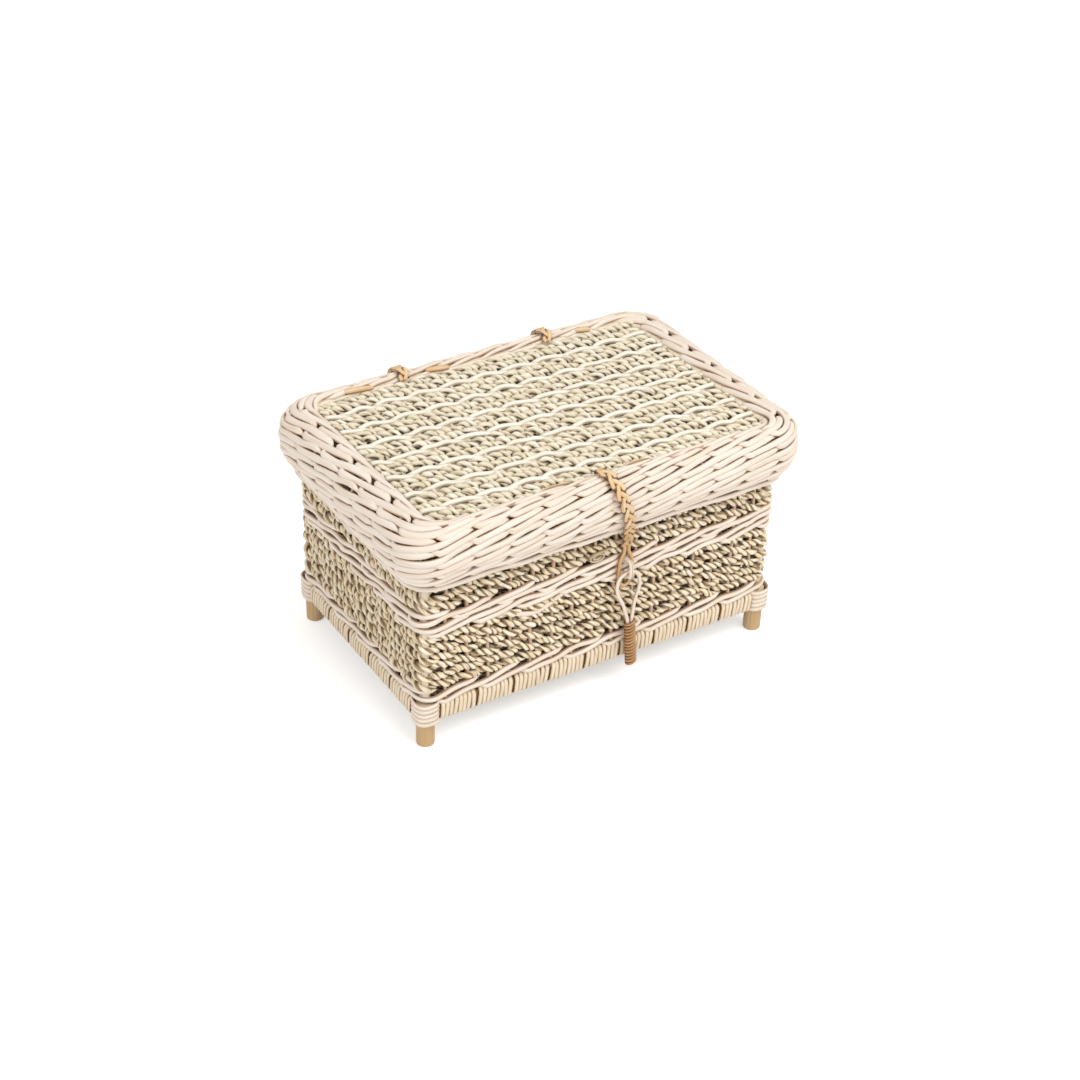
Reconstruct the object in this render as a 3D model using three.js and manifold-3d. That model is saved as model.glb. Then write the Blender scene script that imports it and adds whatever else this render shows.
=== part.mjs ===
// Woven lidded box: a rectangular wicker casket on four round feet, with a deep overhanging lid,
// two cane hinges at the back, and a strap, staple and hanging peg as its clasp at the front.
// Millimetres, Z up. The origin is on the ground under the middle of the box. The front faces -Y.

import * as THREE from 'three';
import { mergeVertices } from 'three/addons/utils/BufferGeometryUtils.js';
import Module from 'manifold-3d';

const wasm = await Module();
wasm.setup();

// Clearances
const seatGap = 0.3; // between pieces that rest on each other
const runningGap = 0.5; // between pieces that move past each other
const cutOverrun = 2; // how far a cut runs past the wall

// Legs: a thick foot under the wall and a thinner post inside its corner
const legSpacingX = 276;
const legSpacingY = 168.4;
const footDiameter = 13;
const footChamfer = 0.8;
const postDiameter = 6.4;

// Base border: lashed frame rods between the feet
const borderClearance = 20; // ground to the underside of the lashing
const lashingHeight = 16;
const lashingThickness = 10;
const lashingRound = 4.2;
const lashingWall = 1.7;
const groupPitch = 28.8; // one group of lashing turns and the gap after it
const groupGap = 4.2;
const groupRelief = 1.1; // how far a group stands out from the gap
const groupShoulder = 0.9;

// Corner binding: flat cane wound round each foot
const bindingTurns = 2.4;
const bindingWidth = 4.3;
const bindingThickness = 1.1;

// Floor
const floorThickness = 5;
const floorRise = 7; // underside of the lashing to the underside of the floor
const bearerDiameter = 6;
const bearerSpacing = 69;

// Woven wall
const wallThickness = 8;
const wallCover = 4.2; // from the corner post to the outside of the wall
const wallCornerRadius = 12;
const innerCornerRadius = 4;
const baseWaleHeight = 10;
const baseWaleRows = 2;
const waleBead = 0.5; // how far the rounded canes of a wale stand out
const lowerBandHeight = 46;
const middleWaleHeight = 18;
const middleWaleRows = 3;
const upperBandHeight = 54;
const leanRise = 30; // straight part of the upper band
const leanIn = 3; // how far the wall leans in under the lid
const postRise = 38; // the post ends this far up the upper band
const rimWidth = 10;
const rimHeight = 6.3;
const rimRound = 1.6;

// Lid panel and the hoop round its edge
const hoopWidth = 6.2;
const hoopHeight = 6.4;
const hoopChamfer = 1.2;
const panelCornerRadius = 13.5;

// Lid border and skirt
const shellThickness = 4.6;
const borderWidthX = 27.9;
const borderWidthY = 16.9;
const borderCrest = 4.5; // crest above the top of the hoop
const borderDepth = 15.8; // crest to the joint of border and skirt
const skirtDepth = 30.3;
const skirtReach = 10.2; // top of the skirt, outward from the edge cane
const cornerGrowthShare = 0.75; // how much of an outward step the corner radius takes
const caneRounds = 3; // rounds of cane on the border, and as many on the skirt
const roundGroove = 1.5; // depth of the groove between two rounds
const roundGrooveHalf = 1.8; // half its width
const roundGrooveClear = 0.9; // from a groove to the next corner kept of the outline
const edgeCaneDiameter = 4;
const edgeGapX = 2.9; // wall to the edge cane at the ends
const edgeGapY = 1.1; // wall to the edge cane at front and back

// Hinges
const hingeSpacing = 120;
const hingeLoopWidth = 7;
const hingeLoopThickness = 3.2;
const hingeWindowGap = 0.8;

// Tan braids
const braidWidth = 8;
const braidThickness = 3.8;

// Clasp
const claspX = 14;
const strapTopX = -10;
const strapBottomX = 12;
const strapEndDrop = 2.4; // strap end to the line that its tongue swings on
const tongueThickness = 3.2;
const eyeThickness = 3.2;
const eyeStrand = 3;
const eyeAboveStaple = 11.5; // upper leg's middle to the top of the eye
const eyeBelowStaple = 10.7; // lower leg's middle to the bottom of the eye
const eyeHalfWidth = 6.75;
const eyeNeckHalfWidth = 4;
const eyeNeckLength = 8;
const eyeHoleTopRadius = 3.1;

const stapleWire = 3;
const stapleHeight = 13; // between the middles of its two legs
const stapleLift = 2.6; // underside of the middle wale to the lower leg's middle
const stapleRound = 4.4;
const stapleClearance = 1.25; // from the peg's cane to the bar of the staple
const clenchLength = 9;
const clenchRound = 2.8;

const pegCane = 2.7;
const pegHang = 0.35; // from the staple to the peg's cane
const pegLoopRadius = 9.2;
const pegLoopLength = 42; // top of the loop to the top of the grip
const pegTailLength = 36.7;
const pegTailGap = 0.4;
const pegLeanDegrees = 5;
const gripTurns = 14;
const gripPitch = 2.7;
const gripBandWidth = 2.1;
const gripBandThickness = 1;
const gripClearance = 0.35;
const gripFill = 0.4; // extra depth that keeps the winding round

// Facets
const roundSides = 16;
const caneSides = 8;
const cornerSteps = 6; // in each corner of a band that runs round the box
const rodCornerSteps = 2; // in each corner of a rod's section
const loopSteps = 10; // in a half turn of a small loop
const bentCaneSteps = 52;
const windingSteps = 18; // in each turn
const braidSteps = 18;

// Levels and plan sizes that follow from the sizes above
const borderTop = borderClearance + lashingHeight;
const lowerBandBottom = borderTop + baseWaleHeight;
const middleWaleBottom = lowerBandBottom + lowerBandHeight;
const upperBandBottom = middleWaleBottom + middleWaleHeight;
const leanStart = upperBandBottom + leanRise;
const rimBottom = upperBandBottom + upperBandHeight;
const rimTop = rimBottom + rimHeight;
const postTop = upperBandBottom + postRise;

const wallReach = postDiameter / 2 + wallCover;
const wallHalfX = legSpacingX / 2 + wallReach;
const wallHalfY = legSpacingY / 2 + wallReach;

const lidSeat = rimTop + seatGap;
const hoopTop = lidSeat + hoopHeight;
const borderUnderside = hoopTop + seatGap;
const crestTop = borderUnderside + borderCrest;
const skirtTop = crestTop - borderDepth;
const skirtBottom = skirtTop - skirtDepth;
const edgeRadius = edgeCaneDiameter / 2;
const edgeHalfX = wallHalfX + edgeGapX + edgeRadius;
const edgeHalfY = wallHalfY + edgeGapY + edgeRadius;
const edgeZ = skirtBottom - seatGap - edgeRadius;
const shoulderHalfX = edgeHalfX + skirtReach;
const shoulderHalfY = edgeHalfY + skirtReach;
const hoopInnerX = shoulderHalfX - borderWidthX;
const hoopInnerY = shoulderHalfY - borderWidthY;

const eyeY = -(wallHalfY + runningGap + eyeThickness / 2);
const pegY = eyeY - eyeThickness / 2 - runningGap - pegCane / 2;
const stapleBarY = pegY - pegCane / 2 - stapleClearance - stapleWire / 2;
const stapleLowZ = middleWaleBottom + stapleLift;
const stapleHighZ = stapleLowZ + stapleHeight;
const eyeTop = stapleHighZ + eyeAboveStaple;
const eyeBottom = stapleLowZ - eyeBelowStaple;
const pegZ = stapleLowZ + stapleWire / 2 + pegHang + pegCane / 2;

// Finishes
const poleWood = new THREE.MeshStandardMaterial({ color: 0xd8b27c, roughness: 0.55, metalness: 0 });
const whiteCane = new THREE.MeshStandardMaterial({ color: 0xe9d8c2, roughness: 0.5, metalness: 0 });
const flatCane = new THREE.MeshStandardMaterial({ color: 0xddc7a6, roughness: 0.5, metalness: 0 });
const seagrass = new THREE.MeshStandardMaterial({ color: 0xb9a988, roughness: 0.75, metalness: 0 });
const tanCane = new THREE.MeshStandardMaterial({ color: 0xcda376, roughness: 0.6, metalness: 0 });

const box = new THREE.Group();

// Adds a named piece to its parent group.
function addPiece(parent, name, geometry, material) {
  const mesh = new THREE.Mesh(geometry, material);
  mesh.name = name;
  parent.add(mesh);
  return mesh;
}

// Leaves only positions, joins equal corners and turns the faces outward.
function closed(geometry) {
  const plain = geometry.clone();
  for (const name of Object.keys(plain.attributes)) {
    if (name !== 'position') plain.deleteAttribute(name);
  }
  const merged = mergeVertices(plain);
  const point = merged.attributes.position;
  const index = merged.index.array;
  const kept = [];
  let volume = 0;
  const a = new THREE.Vector3();
  const b = new THREE.Vector3();
  const c = new THREE.Vector3();
  for (let i = 0; i < index.length; i += 3) {
    const [ia, ib, ic] = index.slice(i, i + 3);
    if (ia === ib || ib === ic || ic === ia) continue;
    a.fromBufferAttribute(point, ia);
    b.fromBufferAttribute(point, ib);
    c.fromBufferAttribute(point, ic);
    volume += a.dot(b.clone().cross(c));
    kept.push(ia, ib, ic);
  }
  if (volume < 0) kept.reverse();
  merged.setIndex(kept);
  return merged;
}

// Turns a closed geometry into a solid that can be joined or cut.
function toSolid(geometry) {
  const merged = closed(geometry);
  return new wasm.Manifold(new wasm.Mesh({
    numProp: 3,
    vertProperties: new Float32Array(merged.attributes.position.array),
    triVerts: new Uint32Array(merged.index.array),
  }));
}

// Cuts every tool out of a geometry.
function cut(geometry, tools) {
  let solid = toSolid(geometry);
  for (const tool of tools) solid = solid.subtract(toSolid(tool));
  const mesh = solid.getMesh();
  const result = new THREE.BufferGeometry();
  result.setAttribute('position', new THREE.BufferAttribute(new Float32Array(mesh.vertProperties), 3));
  result.setIndex(new THREE.BufferAttribute(new Uint32Array(mesh.triVerts), 1));
  return result;
}

// Joins rings of points into one skin. Rings that close on each other need no caps.
function skin(rings, closesOnItself) {
  const count = rings[0].length;
  const positions = rings.flat().flatMap((p) => [p.x, p.y, p.z]);
  const triangles = [];
  const spans = closesOnItself ? rings.length : rings.length - 1;
  for (let i = 0; i < spans; i += 1) {
    const here = i * count;
    const next = ((i + 1) % rings.length) * count;
    for (let j = 0; j < count; j += 1) {
      const k = (j + 1) % count;
      triangles.push(here + j, here + k, next + k, here + j, next + k, next + j);
    }
  }
  if (!closesOnItself) {
    const last = (rings.length - 1) * count;
    for (let j = 1; j < count - 1; j += 1) {
      triangles.push(0, j + 1, j, last, last + j, last + j + 1);
    }
  }
  const geometry = new THREE.BufferGeometry();
  geometry.setAttribute('position', new THREE.Float32BufferAttribute(positions, 3));
  geometry.setIndex(triangles);
  return closed(geometry);
}

// Points of a rounded rectangle, level with the ground.
function roundedRing(halfX, halfY, radius, z, steps = cornerSteps) {
  const points = [];
  for (const [sideX, sideY, quarter] of [[1, 1, 0], [-1, 1, 1], [-1, -1, 2], [1, -1, 3]]) {
    for (let i = 0; i <= steps; i += 1) {
      const angle = (quarter + i / steps) * Math.PI / 2;
      points.push(new THREE.Vector3(
        sideX * (halfX - radius) + radius * Math.cos(angle),
        sideY * (halfY - radius) + radius * Math.sin(angle),
        z,
      ));
    }
  }
  return points;
}

// A band that runs round the box. Each corner of its section gives its own plan size and height.
function band(section) {
  return skin(section.map((s) => roundedRing(s.halfX, s.halfY, s.radius, s.z)), true);
}

// A flat shape with thickness, standing along +Z from zero.
function plate(shape, thickness, curveSegments = cornerSteps) {
  return new THREE.ExtrudeGeometry(shape, { depth: thickness, bevelEnabled: false, curveSegments });
}

// An upright prism of many sides, centred on the origin.
function upright(diameter, height, sides = roundSides) {
  return new THREE.CylinderGeometry(diameter / 2, diameter / 2, height, sides).rotateX(Math.PI / 2);
}

// An oval section for canes and braids.
function ovalShape(width, thickness, sides = caneSides) {
  const points = [];
  for (let i = 0; i < sides; i += 1) {
    const angle = (i + 0.5) / sides * Math.PI * 2;
    points.push(new THREE.Vector2(width / 2 * Math.cos(angle), thickness / 2 * Math.sin(angle)));
  }
  return new THREE.Shape(points);
}

// A rounded rectangle as a shape.
function roundedShape(halfX, halfY, radius, steps = cornerSteps) {
  const ring = roundedRing(halfX, halfY, radius, 0, steps);
  return new THREE.Shape(ring.map((p) => new THREE.Vector2(p.x, p.y)));
}

// A section drawn along a curve.
function tubeAlong(curve, shape, steps) {
  return closed(new THREE.ExtrudeGeometry(shape, { steps, extrudePath: curve, bevelEnabled: false }));
}

// Lifts a path drawn in two axes into space.
class LiftedPath extends THREE.Curve {
  constructor(path, lift) {
    super();
    this.path = path;
    this.lift = lift;
  }

  getPoint(t, target = new THREE.Vector3()) {
    const p = this.path.getPointAt(t);
    return target.copy(this.lift(p.x, p.y));
  }
}

// A flat band wound round an upright oval, as one unbroken turn after another.
function winding(halfA, halfB, turns, pitch, width, thickness, stepsPerTurn, label) {
  const rings = [];
  const steps = Math.round(turns * stepsPerTurn);
  const bevel = thickness / 2;
  for (let i = 0; i <= steps; i += 1) {
    const turn = i / stepsPerTurn;
    const angle = turn * Math.PI * 2;
    const z = pitch * turn;
    const along = (out, up) => new THREE.Vector3(
      (halfA + out) * Math.cos(angle),
      (halfB + out) * Math.sin(angle),
      z + up,
    );
    rings.push([
      along(0, bevel - width / 2),
      along(bevel, -width / 2),
      along(thickness, bevel - width / 2),
      along(thickness, width / 2 - bevel),
      along(bevel, width / 2),
      along(0, width / 2 - bevel),
    ]);
  }
  let least = Infinity;
  rings.forEach((ring, i) => {
    const next = rings[i + stepsPerTurn];
    if (!next) return;
    for (const p of ring) {
      for (const q of next) least = Math.min(least, p.distanceTo(q));
    }
  });
  console.log(`${label}: least gap between turns ${least.toFixed(2)} mm`);
  return skin(rings, false);
}

// Names and signs of the four corners.
const corners = [
  ['front_left', -1, -1],
  ['front_right', 1, -1],
  ['back_left', -1, 1],
  ['back_right', 1, 1],
];

// Legs: each is one pole, shouldered down to a post above the base border.
function addLegs() {
  const foot = footDiameter / 2;
  const post = postDiameter / 2;
  const profile = [
    [0, 0],
    [foot - footChamfer, 0],
    [foot, footChamfer],
    [foot, borderTop],
    [post, borderTop],
    [post, postTop],
    [0, postTop],
  ].map(([r, z]) => new THREE.Vector2(r, z));
  for (const [name, sideX, sideY] of corners) {
    const geometry = closed(new THREE.LatheGeometry(profile, roundSides).rotateX(Math.PI / 2));
    const leg = addPiece(box, `leg_${name}`, geometry, poleWood);
    leg.position.set(sideX * legSpacingX / 2, sideY * legSpacingY / 2, 0);
  }
}

// Room for the posts in a woven band, from one height to another.
function postPockets(bottom, top) {
  const height = top - bottom;
  return corners.map(([, sideX, sideY]) => upright(postDiameter + 2 * seatGap, height)
    .translate(sideX * legSpacingX / 2, sideY * legSpacingY / 2, bottom + height / 2));
}

// Corner bindings: flat cane wound round the foot at the level of the base border.
function addBindings() {
  const inner = footDiameter / 2 + seatGap;
  const pitch = (lashingHeight - bindingWidth) / bindingTurns;
  for (const [name, sideX, sideY] of corners) {
    const geometry = winding(inner, inner, bindingTurns, pitch, bindingWidth, bindingThickness,
      windingSteps, `binding_${name}`);
    const binding = addPiece(box, `binding_${name}`, geometry, flatCane);
    const bottomTurn = borderClearance + bindingWidth / 2;
    binding.position.set(sideX * legSpacingX / 2, sideY * legSpacingY / 2, bottomTurn);
  }
}

// One lashed frame rod and its lashing, lying along its own Z axis.
function lashedRod(length) {
  const innerX = lashingThickness / 2 - lashingWall;
  const innerY = lashingHeight / 2 - lashingWall;
  const innerRound = lashingRound - lashingWall;
  const rodShape = roundedShape(innerX - seatGap, innerY - seatGap, innerRound, rodCornerSteps);
  const rod = plate(rodShape, length).translate(0, 0, -length / 2);
  const groups = Math.max(1, Math.round((length + groupGap) / groupPitch));
  const pitch = (length + groupGap) / groups;
  const section = [];
  const ring = (inset, z) => roundedRing(
    lashingThickness / 2 - inset,
    lashingHeight / 2 - inset,
    lashingRound - inset,
    z,
    rodCornerSteps,
  );
  for (let i = 0; i < groups; i += 1) {
    const start = i * pitch - length / 2;
    const end = start + pitch - groupGap;
    if (i > 0) section.push(ring(groupRelief, start));
    section.push(ring(0, start + (i > 0 ? groupShoulder : 0)));
    section.push(ring(0, end - (i < groups - 1 ? groupShoulder : 0)));
    if (i < groups - 1) section.push(ring(groupRelief, end));
  }
  section.push(ring(lashingWall, length / 2), ring(lashingWall, -length / 2));
  return { rod: closed(rod), lashing: skin(section, true) };
}

// Base border: a lashed rod on each side, between the corner bindings.
function addBaseBorder() {
  const bindingReach = footDiameter / 2 + seatGap + bindingThickness;
  const lengthX = legSpacingX - 2 * (bindingReach + seatGap);
  const lengthY = legSpacingY - 2 * (bindingReach + seatGap);
  const middleZ = borderClearance + lashingHeight / 2;
  const offsetX = wallHalfX - lashingThickness / 2;
  const offsetY = wallHalfY - lashingThickness / 2;
  const sides = [
    ['front', lengthX, 0, -offsetY, true],
    ['back', lengthX, 0, offsetY, true],
    ['left', lengthY, -offsetX, 0, false],
    ['right', lengthY, offsetX, 0, false],
  ];
  for (const [name, length, x, y, alongX] of sides) {
    const { rod, lashing } = lashedRod(length);
    const pieces = [['base_rod', rod, poleWood], ['lashing', lashing, flatCane]];
    for (const [kind, geometry, material] of pieces) {
      geometry.rotateX(Math.PI / 2);
      if (alongX) geometry.rotateZ(Math.PI / 2);
      addPiece(box, `${kind}_${name}`, geometry, material).position.set(x, y, middleZ);
    }
  }
}

// Floor: a woven panel between the lashed rods, on round bearers that run front to back.
function addFloor() {
  const halfX = wallHalfX - lashingThickness - seatGap;
  const halfY = wallHalfY - lashingThickness - seatGap;
  const legX = legSpacingX / 2;
  const legY = legSpacingY / 2;
  const reach = footDiameter / 2 + bindingThickness + 2 * seatGap;
  const from = 1.5 * Math.PI - Math.asin((legX - halfX) / reach);
  const to = Math.PI + Math.asin((legY - halfY) / reach);
  const outline = [];
  for (const [sideX, sideY, flip] of [[1, 1, false], [-1, 1, true], [-1, -1, false], [1, -1, true]]) {
    const arc = [];
    for (let i = 0; i <= cornerSteps; i += 1) {
      const angle = from + (to - from) * i / cornerSteps;
      arc.push(new THREE.Vector2(
        sideX * (legX + reach * Math.cos(angle)),
        sideY * (legY + reach * Math.sin(angle)),
      ));
    }
    if (flip) arc.reverse();
    outline.push(...arc);
  }
  const sheet = closed(plate(new THREE.Shape(outline), floorThickness));
  const floor = addPiece(box, 'floor_panel', sheet, seagrass);
  floor.position.z = borderClearance + floorRise;
  const bearerLength = 2 * halfY;
  const bearerRadius = bearerDiameter / 2;
  const bearerZ = borderClearance + floorRise - seatGap - bearerRadius;
  for (const [name, place] of [['left', -1], ['middle', 0], ['right', 1]]) {
    const rod = closed(new THREE.CylinderGeometry(bearerRadius, bearerRadius, bearerLength, caneSides));
    addPiece(box, `floor_bearer_${name}`, rod, poleWood).position.set(place * bearerSpacing, 0, bearerZ);
  }
}

// One corner of a wall section: how far in from the outside, and how high.
function wallPoint(inset, z, radius = wallCornerRadius) {
  return { halfX: wallHalfX - inset, halfY: wallHalfY - inset, radius, z };
}

// Rows of rounded canes on the outside of a band, as shallow beads.
function beadedSection(bottom, height, rows) {
  const section = [wallPoint(wallThickness, bottom, innerCornerRadius)];
  const pitch = height / rows;
  for (let i = 0; i < rows; i += 1) {
    section.push(wallPoint(waleBead, bottom + i * pitch));
    section.push(wallPoint(0, bottom + (i + 0.5) * pitch));
  }
  section.push(wallPoint(waleBead, bottom + height));
  section.push(wallPoint(wallThickness, bottom + height, innerCornerRadius));
  return section;
}

// Holes in the middle wale for the legs of the staple.
function stapleHoles() {
  const depth = wallThickness + 2 * cutOverrun;
  const diameter = (stapleWire + 2 * seatGap) / Math.cos(Math.PI / caneSides);
  return [stapleLowZ, stapleHighZ].map((z) => new THREE.CylinderGeometry(
    diameter / 2,
    diameter / 2,
    depth,
    caneSides,
  ).translate(claspX, wallThickness / 2 - wallHalfY, z));
}

// Slots in the back wall for the hinge loops.
function hingeSlots() {
  const inner = edgeRadius + runningGap;
  const height = hingeLoopThickness + 2 * seatGap;
  const depth = wallThickness + 2 * cutOverrun;
  const slots = [];
  for (const side of [-1, 1]) {
    for (const level of [-1, 1]) {
      const z = edgeZ + level * (inner + hingeLoopThickness / 2);
      slots.push(new THREE.BoxGeometry(hingeLoopWidth + 2 * seatGap, depth, height)
        .translate(side * hingeSpacing / 2, wallHalfY - wallThickness / 2, z));
    }
  }
  return slots;
}

// Woven wall: four bands, one above the other, and the rim that the lid rests on.
function addWall() {
  const pockets = postPockets(borderTop - cutOverrun, postTop + seatGap);
  const base = beadedSection(borderTop, baseWaleHeight, baseWaleRows);
  addPiece(box, 'base_wale', cut(band(base), pockets), whiteCane);

  const lower = [
    wallPoint(wallThickness, lowerBandBottom, innerCornerRadius),
    wallPoint(waleBead, lowerBandBottom),
    wallPoint(waleBead, middleWaleBottom),
    wallPoint(wallThickness, middleWaleBottom, innerCornerRadius),
  ];
  addPiece(box, 'lower_seagrass_band', cut(band(lower), pockets), seagrass);

  const middle = beadedSection(middleWaleBottom, middleWaleHeight, middleWaleRows);
  addPiece(box, 'middle_wale', cut(band(middle), [...pockets, ...stapleHoles()]), whiteCane);

  const upper = [
    wallPoint(wallThickness, upperBandBottom, innerCornerRadius),
    wallPoint(waleBead, upperBandBottom),
    wallPoint(waleBead, leanStart),
    wallPoint(leanIn, rimBottom),
    wallPoint(leanIn + wallThickness, rimBottom, innerCornerRadius),
    wallPoint(wallThickness, leanStart, innerCornerRadius),
  ];
  addPiece(box, 'upper_seagrass_band', cut(band(upper), [...pockets, ...hingeSlots()]), seagrass);

  const rim = [
    wallPoint(leanIn + rimWidth, rimBottom, innerCornerRadius),
    wallPoint(leanIn, rimBottom),
    wallPoint(leanIn, rimTop - rimRound),
    wallPoint(leanIn + rimRound, rimTop),
    wallPoint(leanIn + rimWidth - rimRound, rimTop, innerCornerRadius + rimRound),
    wallPoint(leanIn + rimWidth, rimTop - rimRound, innerCornerRadius),
  ];
  addPiece(box, 'body_rim', band(rim), whiteCane);
}

// Hinge loops: each goes through the back wall and round the edge cane of the lid.
function addHingeLoops() {
  const inner = edgeRadius + runningGap;
  const outer = inner + hingeLoopThickness;
  const innerEndY = wallHalfY - wallThickness - seatGap;
  const half = Math.PI / 2;
  const shape = new THREE.Shape();
  shape.absarc(edgeHalfY, 0, outer, -half, half, false);
  shape.absarc(innerEndY, 0, outer, half, 3 * half, false);
  const hole = new THREE.Path();
  hole.absarc(edgeHalfY, 0, inner, -half, half, false);
  hole.absarc(innerEndY, 0, inner, half, 3 * half, false);
  shape.holes.push(hole);
  for (const [name, side] of [['left', -1], ['right', 1]]) {
    const geometry = plate(shape, hingeLoopWidth, loopSteps)
      .translate(0, 0, -hingeLoopWidth / 2)
      .rotateX(Math.PI / 2)
      .rotateZ(Math.PI / 2);
    const loop = addPiece(box, `hinge_loop_${name}`, closed(geometry), tanCane);
    loop.position.set(side * hingeSpacing / 2, 0, edgeZ);
  }
}

// Staple: a bent cane through the wall, with its tails clenched flat inside.
function addStaple() {
  const insideY = -(wallHalfY - wallThickness - seatGap - stapleWire / 2);
  const quarter = Math.PI / 2;
  const bendY = stapleBarY + stapleRound;
  const path = new THREE.Path();
  path.moveTo(insideY, stapleHighZ + clenchRound + clenchLength);
  path.lineTo(insideY, stapleHighZ + clenchRound);
  path.absarc(insideY - clenchRound, stapleHighZ + clenchRound, clenchRound, 0, -quarter, true);
  path.lineTo(bendY, stapleHighZ);
  path.absarc(bendY, stapleHighZ - stapleRound, stapleRound, quarter, 2 * quarter, false);
  path.lineTo(stapleBarY, stapleLowZ + stapleRound);
  path.absarc(bendY, stapleLowZ + stapleRound, stapleRound, 2 * quarter, 3 * quarter, false);
  path.lineTo(insideY - clenchRound, stapleLowZ);
  path.absarc(insideY - clenchRound, stapleLowZ - clenchRound, clenchRound, quarter, 0, true);
  path.lineTo(insideY, stapleLowZ - clenchRound - clenchLength);
  const curve = new LiftedPath(path, (y, z) => new THREE.Vector3(claspX, y, z));
  const staple = tubeAlong(curve, ovalShape(stapleWire, stapleWire), bentCaneSteps);
  addPiece(box, 'clasp_staple', staple, whiteCane);
}

// The lid's outside, from the panel edge over the crest and down to the edge cane.
// Each entry: share of the border's width in from its outside, share of its height below the crest.
const borderOutsideShares = [
  [0.97, 0.12],
  [0.75, 0],
  [0.45, 0.05],
  [0.2, 0.29],
  [0.05, 0.65],
  [0, 1],
];
const borderInsideShares = [
  [0, 1],
  [0.05, 0.68],
  [0.2, 0.43],
];
// Each entry: share of the skirt's reach out from the edge cane, share of its depth below its top.
const skirtOutsideShares = [
  [1, 0],
  [1.05, 0.26],
  [0.95, 0.53],
  [0.63, 0.81],
  [0.23, 1],
];
// How far a braid that stops above the edge cane runs down the last step of the skirt.
const lastStepShare = 1 / 3;

// A corner of the lid's section, with a corner radius that grows outward.
function lidPoint(halfX, halfY, z) {
  const radius = panelCornerRadius + cornerGrowthShare * (halfY - hoopInnerY);
  return { halfX, halfY, radius, z };
}

function borderPoint([inShare, dropShare], inset) {
  return lidPoint(
    shoulderHalfX - inset - inShare * borderWidthX,
    shoulderHalfY - inset - inShare * borderWidthY,
    crestTop - dropShare * borderDepth,
  );
}

function skirtPoint([outShare, dropShare], inset) {
  return lidPoint(
    edgeHalfX - inset + outShare * skirtReach,
    edgeHalfY - inset + outShare * skirtReach,
    skirtTop - dropShare * skirtDepth,
  );
}

// Parts an outline into rounds of cane by grooves. An end that is asked for gets half a groove.
function inRounds(outline, grooveFirst, grooveLast) {
  const walked = [0];
  for (let i = 1; i < outline.length; i += 1) {
    const [from, to] = [outline[i - 1], outline[i]];
    walked.push(walked[i - 1] + Math.hypot(to.halfY - from.halfY, to.z - from.z));
  }
  const length = walked[walked.length - 1];
  const at = (place, depth) => {
    const i = walked.findIndex((w) => w >= place);
    const [from, to] = [outline[i - 1], outline[i]];
    const span = walked[i] - walked[i - 1];
    const share = (place - walked[i - 1]) / span;
    const inward = depth * (to.z - from.z) / span;
    return lidPoint(
      from.halfX + share * (to.halfX - from.halfX) + inward,
      from.halfY + share * (to.halfY - from.halfY) + inward,
      from.z + share * (to.z - from.z) - depth * (to.halfY - from.halfY) / span,
    );
  };
  const endIn = (p, depth) => lidPoint(p.halfX - depth, p.halfY - depth, p.z);

  const middles = [];
  for (let i = 1; i < caneRounds; i += 1) middles.push(length * i / caneRounds);
  const grooves = [...middles];
  if (grooveFirst) grooves.push(0);
  if (grooveLast) grooves.push(length);
  const leastGap = roundGrooveHalf + roundGrooveClear;
  const clear = (place) => grooves.every((g) => Math.abs(place - g) > leastGap);
  const places = walked.slice(1, -1).filter(clear).map((place) => [place, 0]);
  for (const middle of middles) {
    places.push([middle - roundGrooveHalf, 0], [middle, roundGroove], [middle + roundGrooveHalf, 0]);
  }
  if (grooveFirst) places.push([roundGrooveHalf, 0]);
  if (grooveLast) places.push([length - roundGrooveHalf, 0]);
  places.sort((a, b) => a[0] - b[0]);
  return [
    endIn(outline[0], grooveFirst ? roundGroove : 0),
    ...places.map(([place, depth]) => at(place, depth)),
    endIn(outline[outline.length - 1], grooveLast ? roundGroove : 0),
  ];
}

// Lid panel and the hoop that carries its edge.
function addLidPanel(lid) {
  const panel = plate(
    roundedShape(hoopInnerX - seatGap, hoopInnerY - seatGap, panelCornerRadius - seatGap),
    hoopHeight,
  );
  addPiece(lid, 'lid_panel', closed(panel), seagrass).position.z = lidSeat;

  const hoopPoint = (inset, z) => lidPoint(hoopInnerX + inset, hoopInnerY + inset, z);
  const hoop = [
    hoopPoint(0, lidSeat + hoopChamfer),
    hoopPoint(hoopChamfer, lidSeat),
    hoopPoint(hoopWidth - hoopChamfer, lidSeat),
    hoopPoint(hoopWidth, lidSeat + hoopChamfer),
    hoopPoint(hoopWidth, hoopTop - hoopChamfer),
    hoopPoint(hoopWidth - hoopChamfer, hoopTop),
    hoopPoint(hoopChamfer, hoopTop),
    hoopPoint(0, hoopTop - hoopChamfer),
  ];
  addPiece(lid, 'lid_hoop', band(hoop), poleWood);
}

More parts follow.
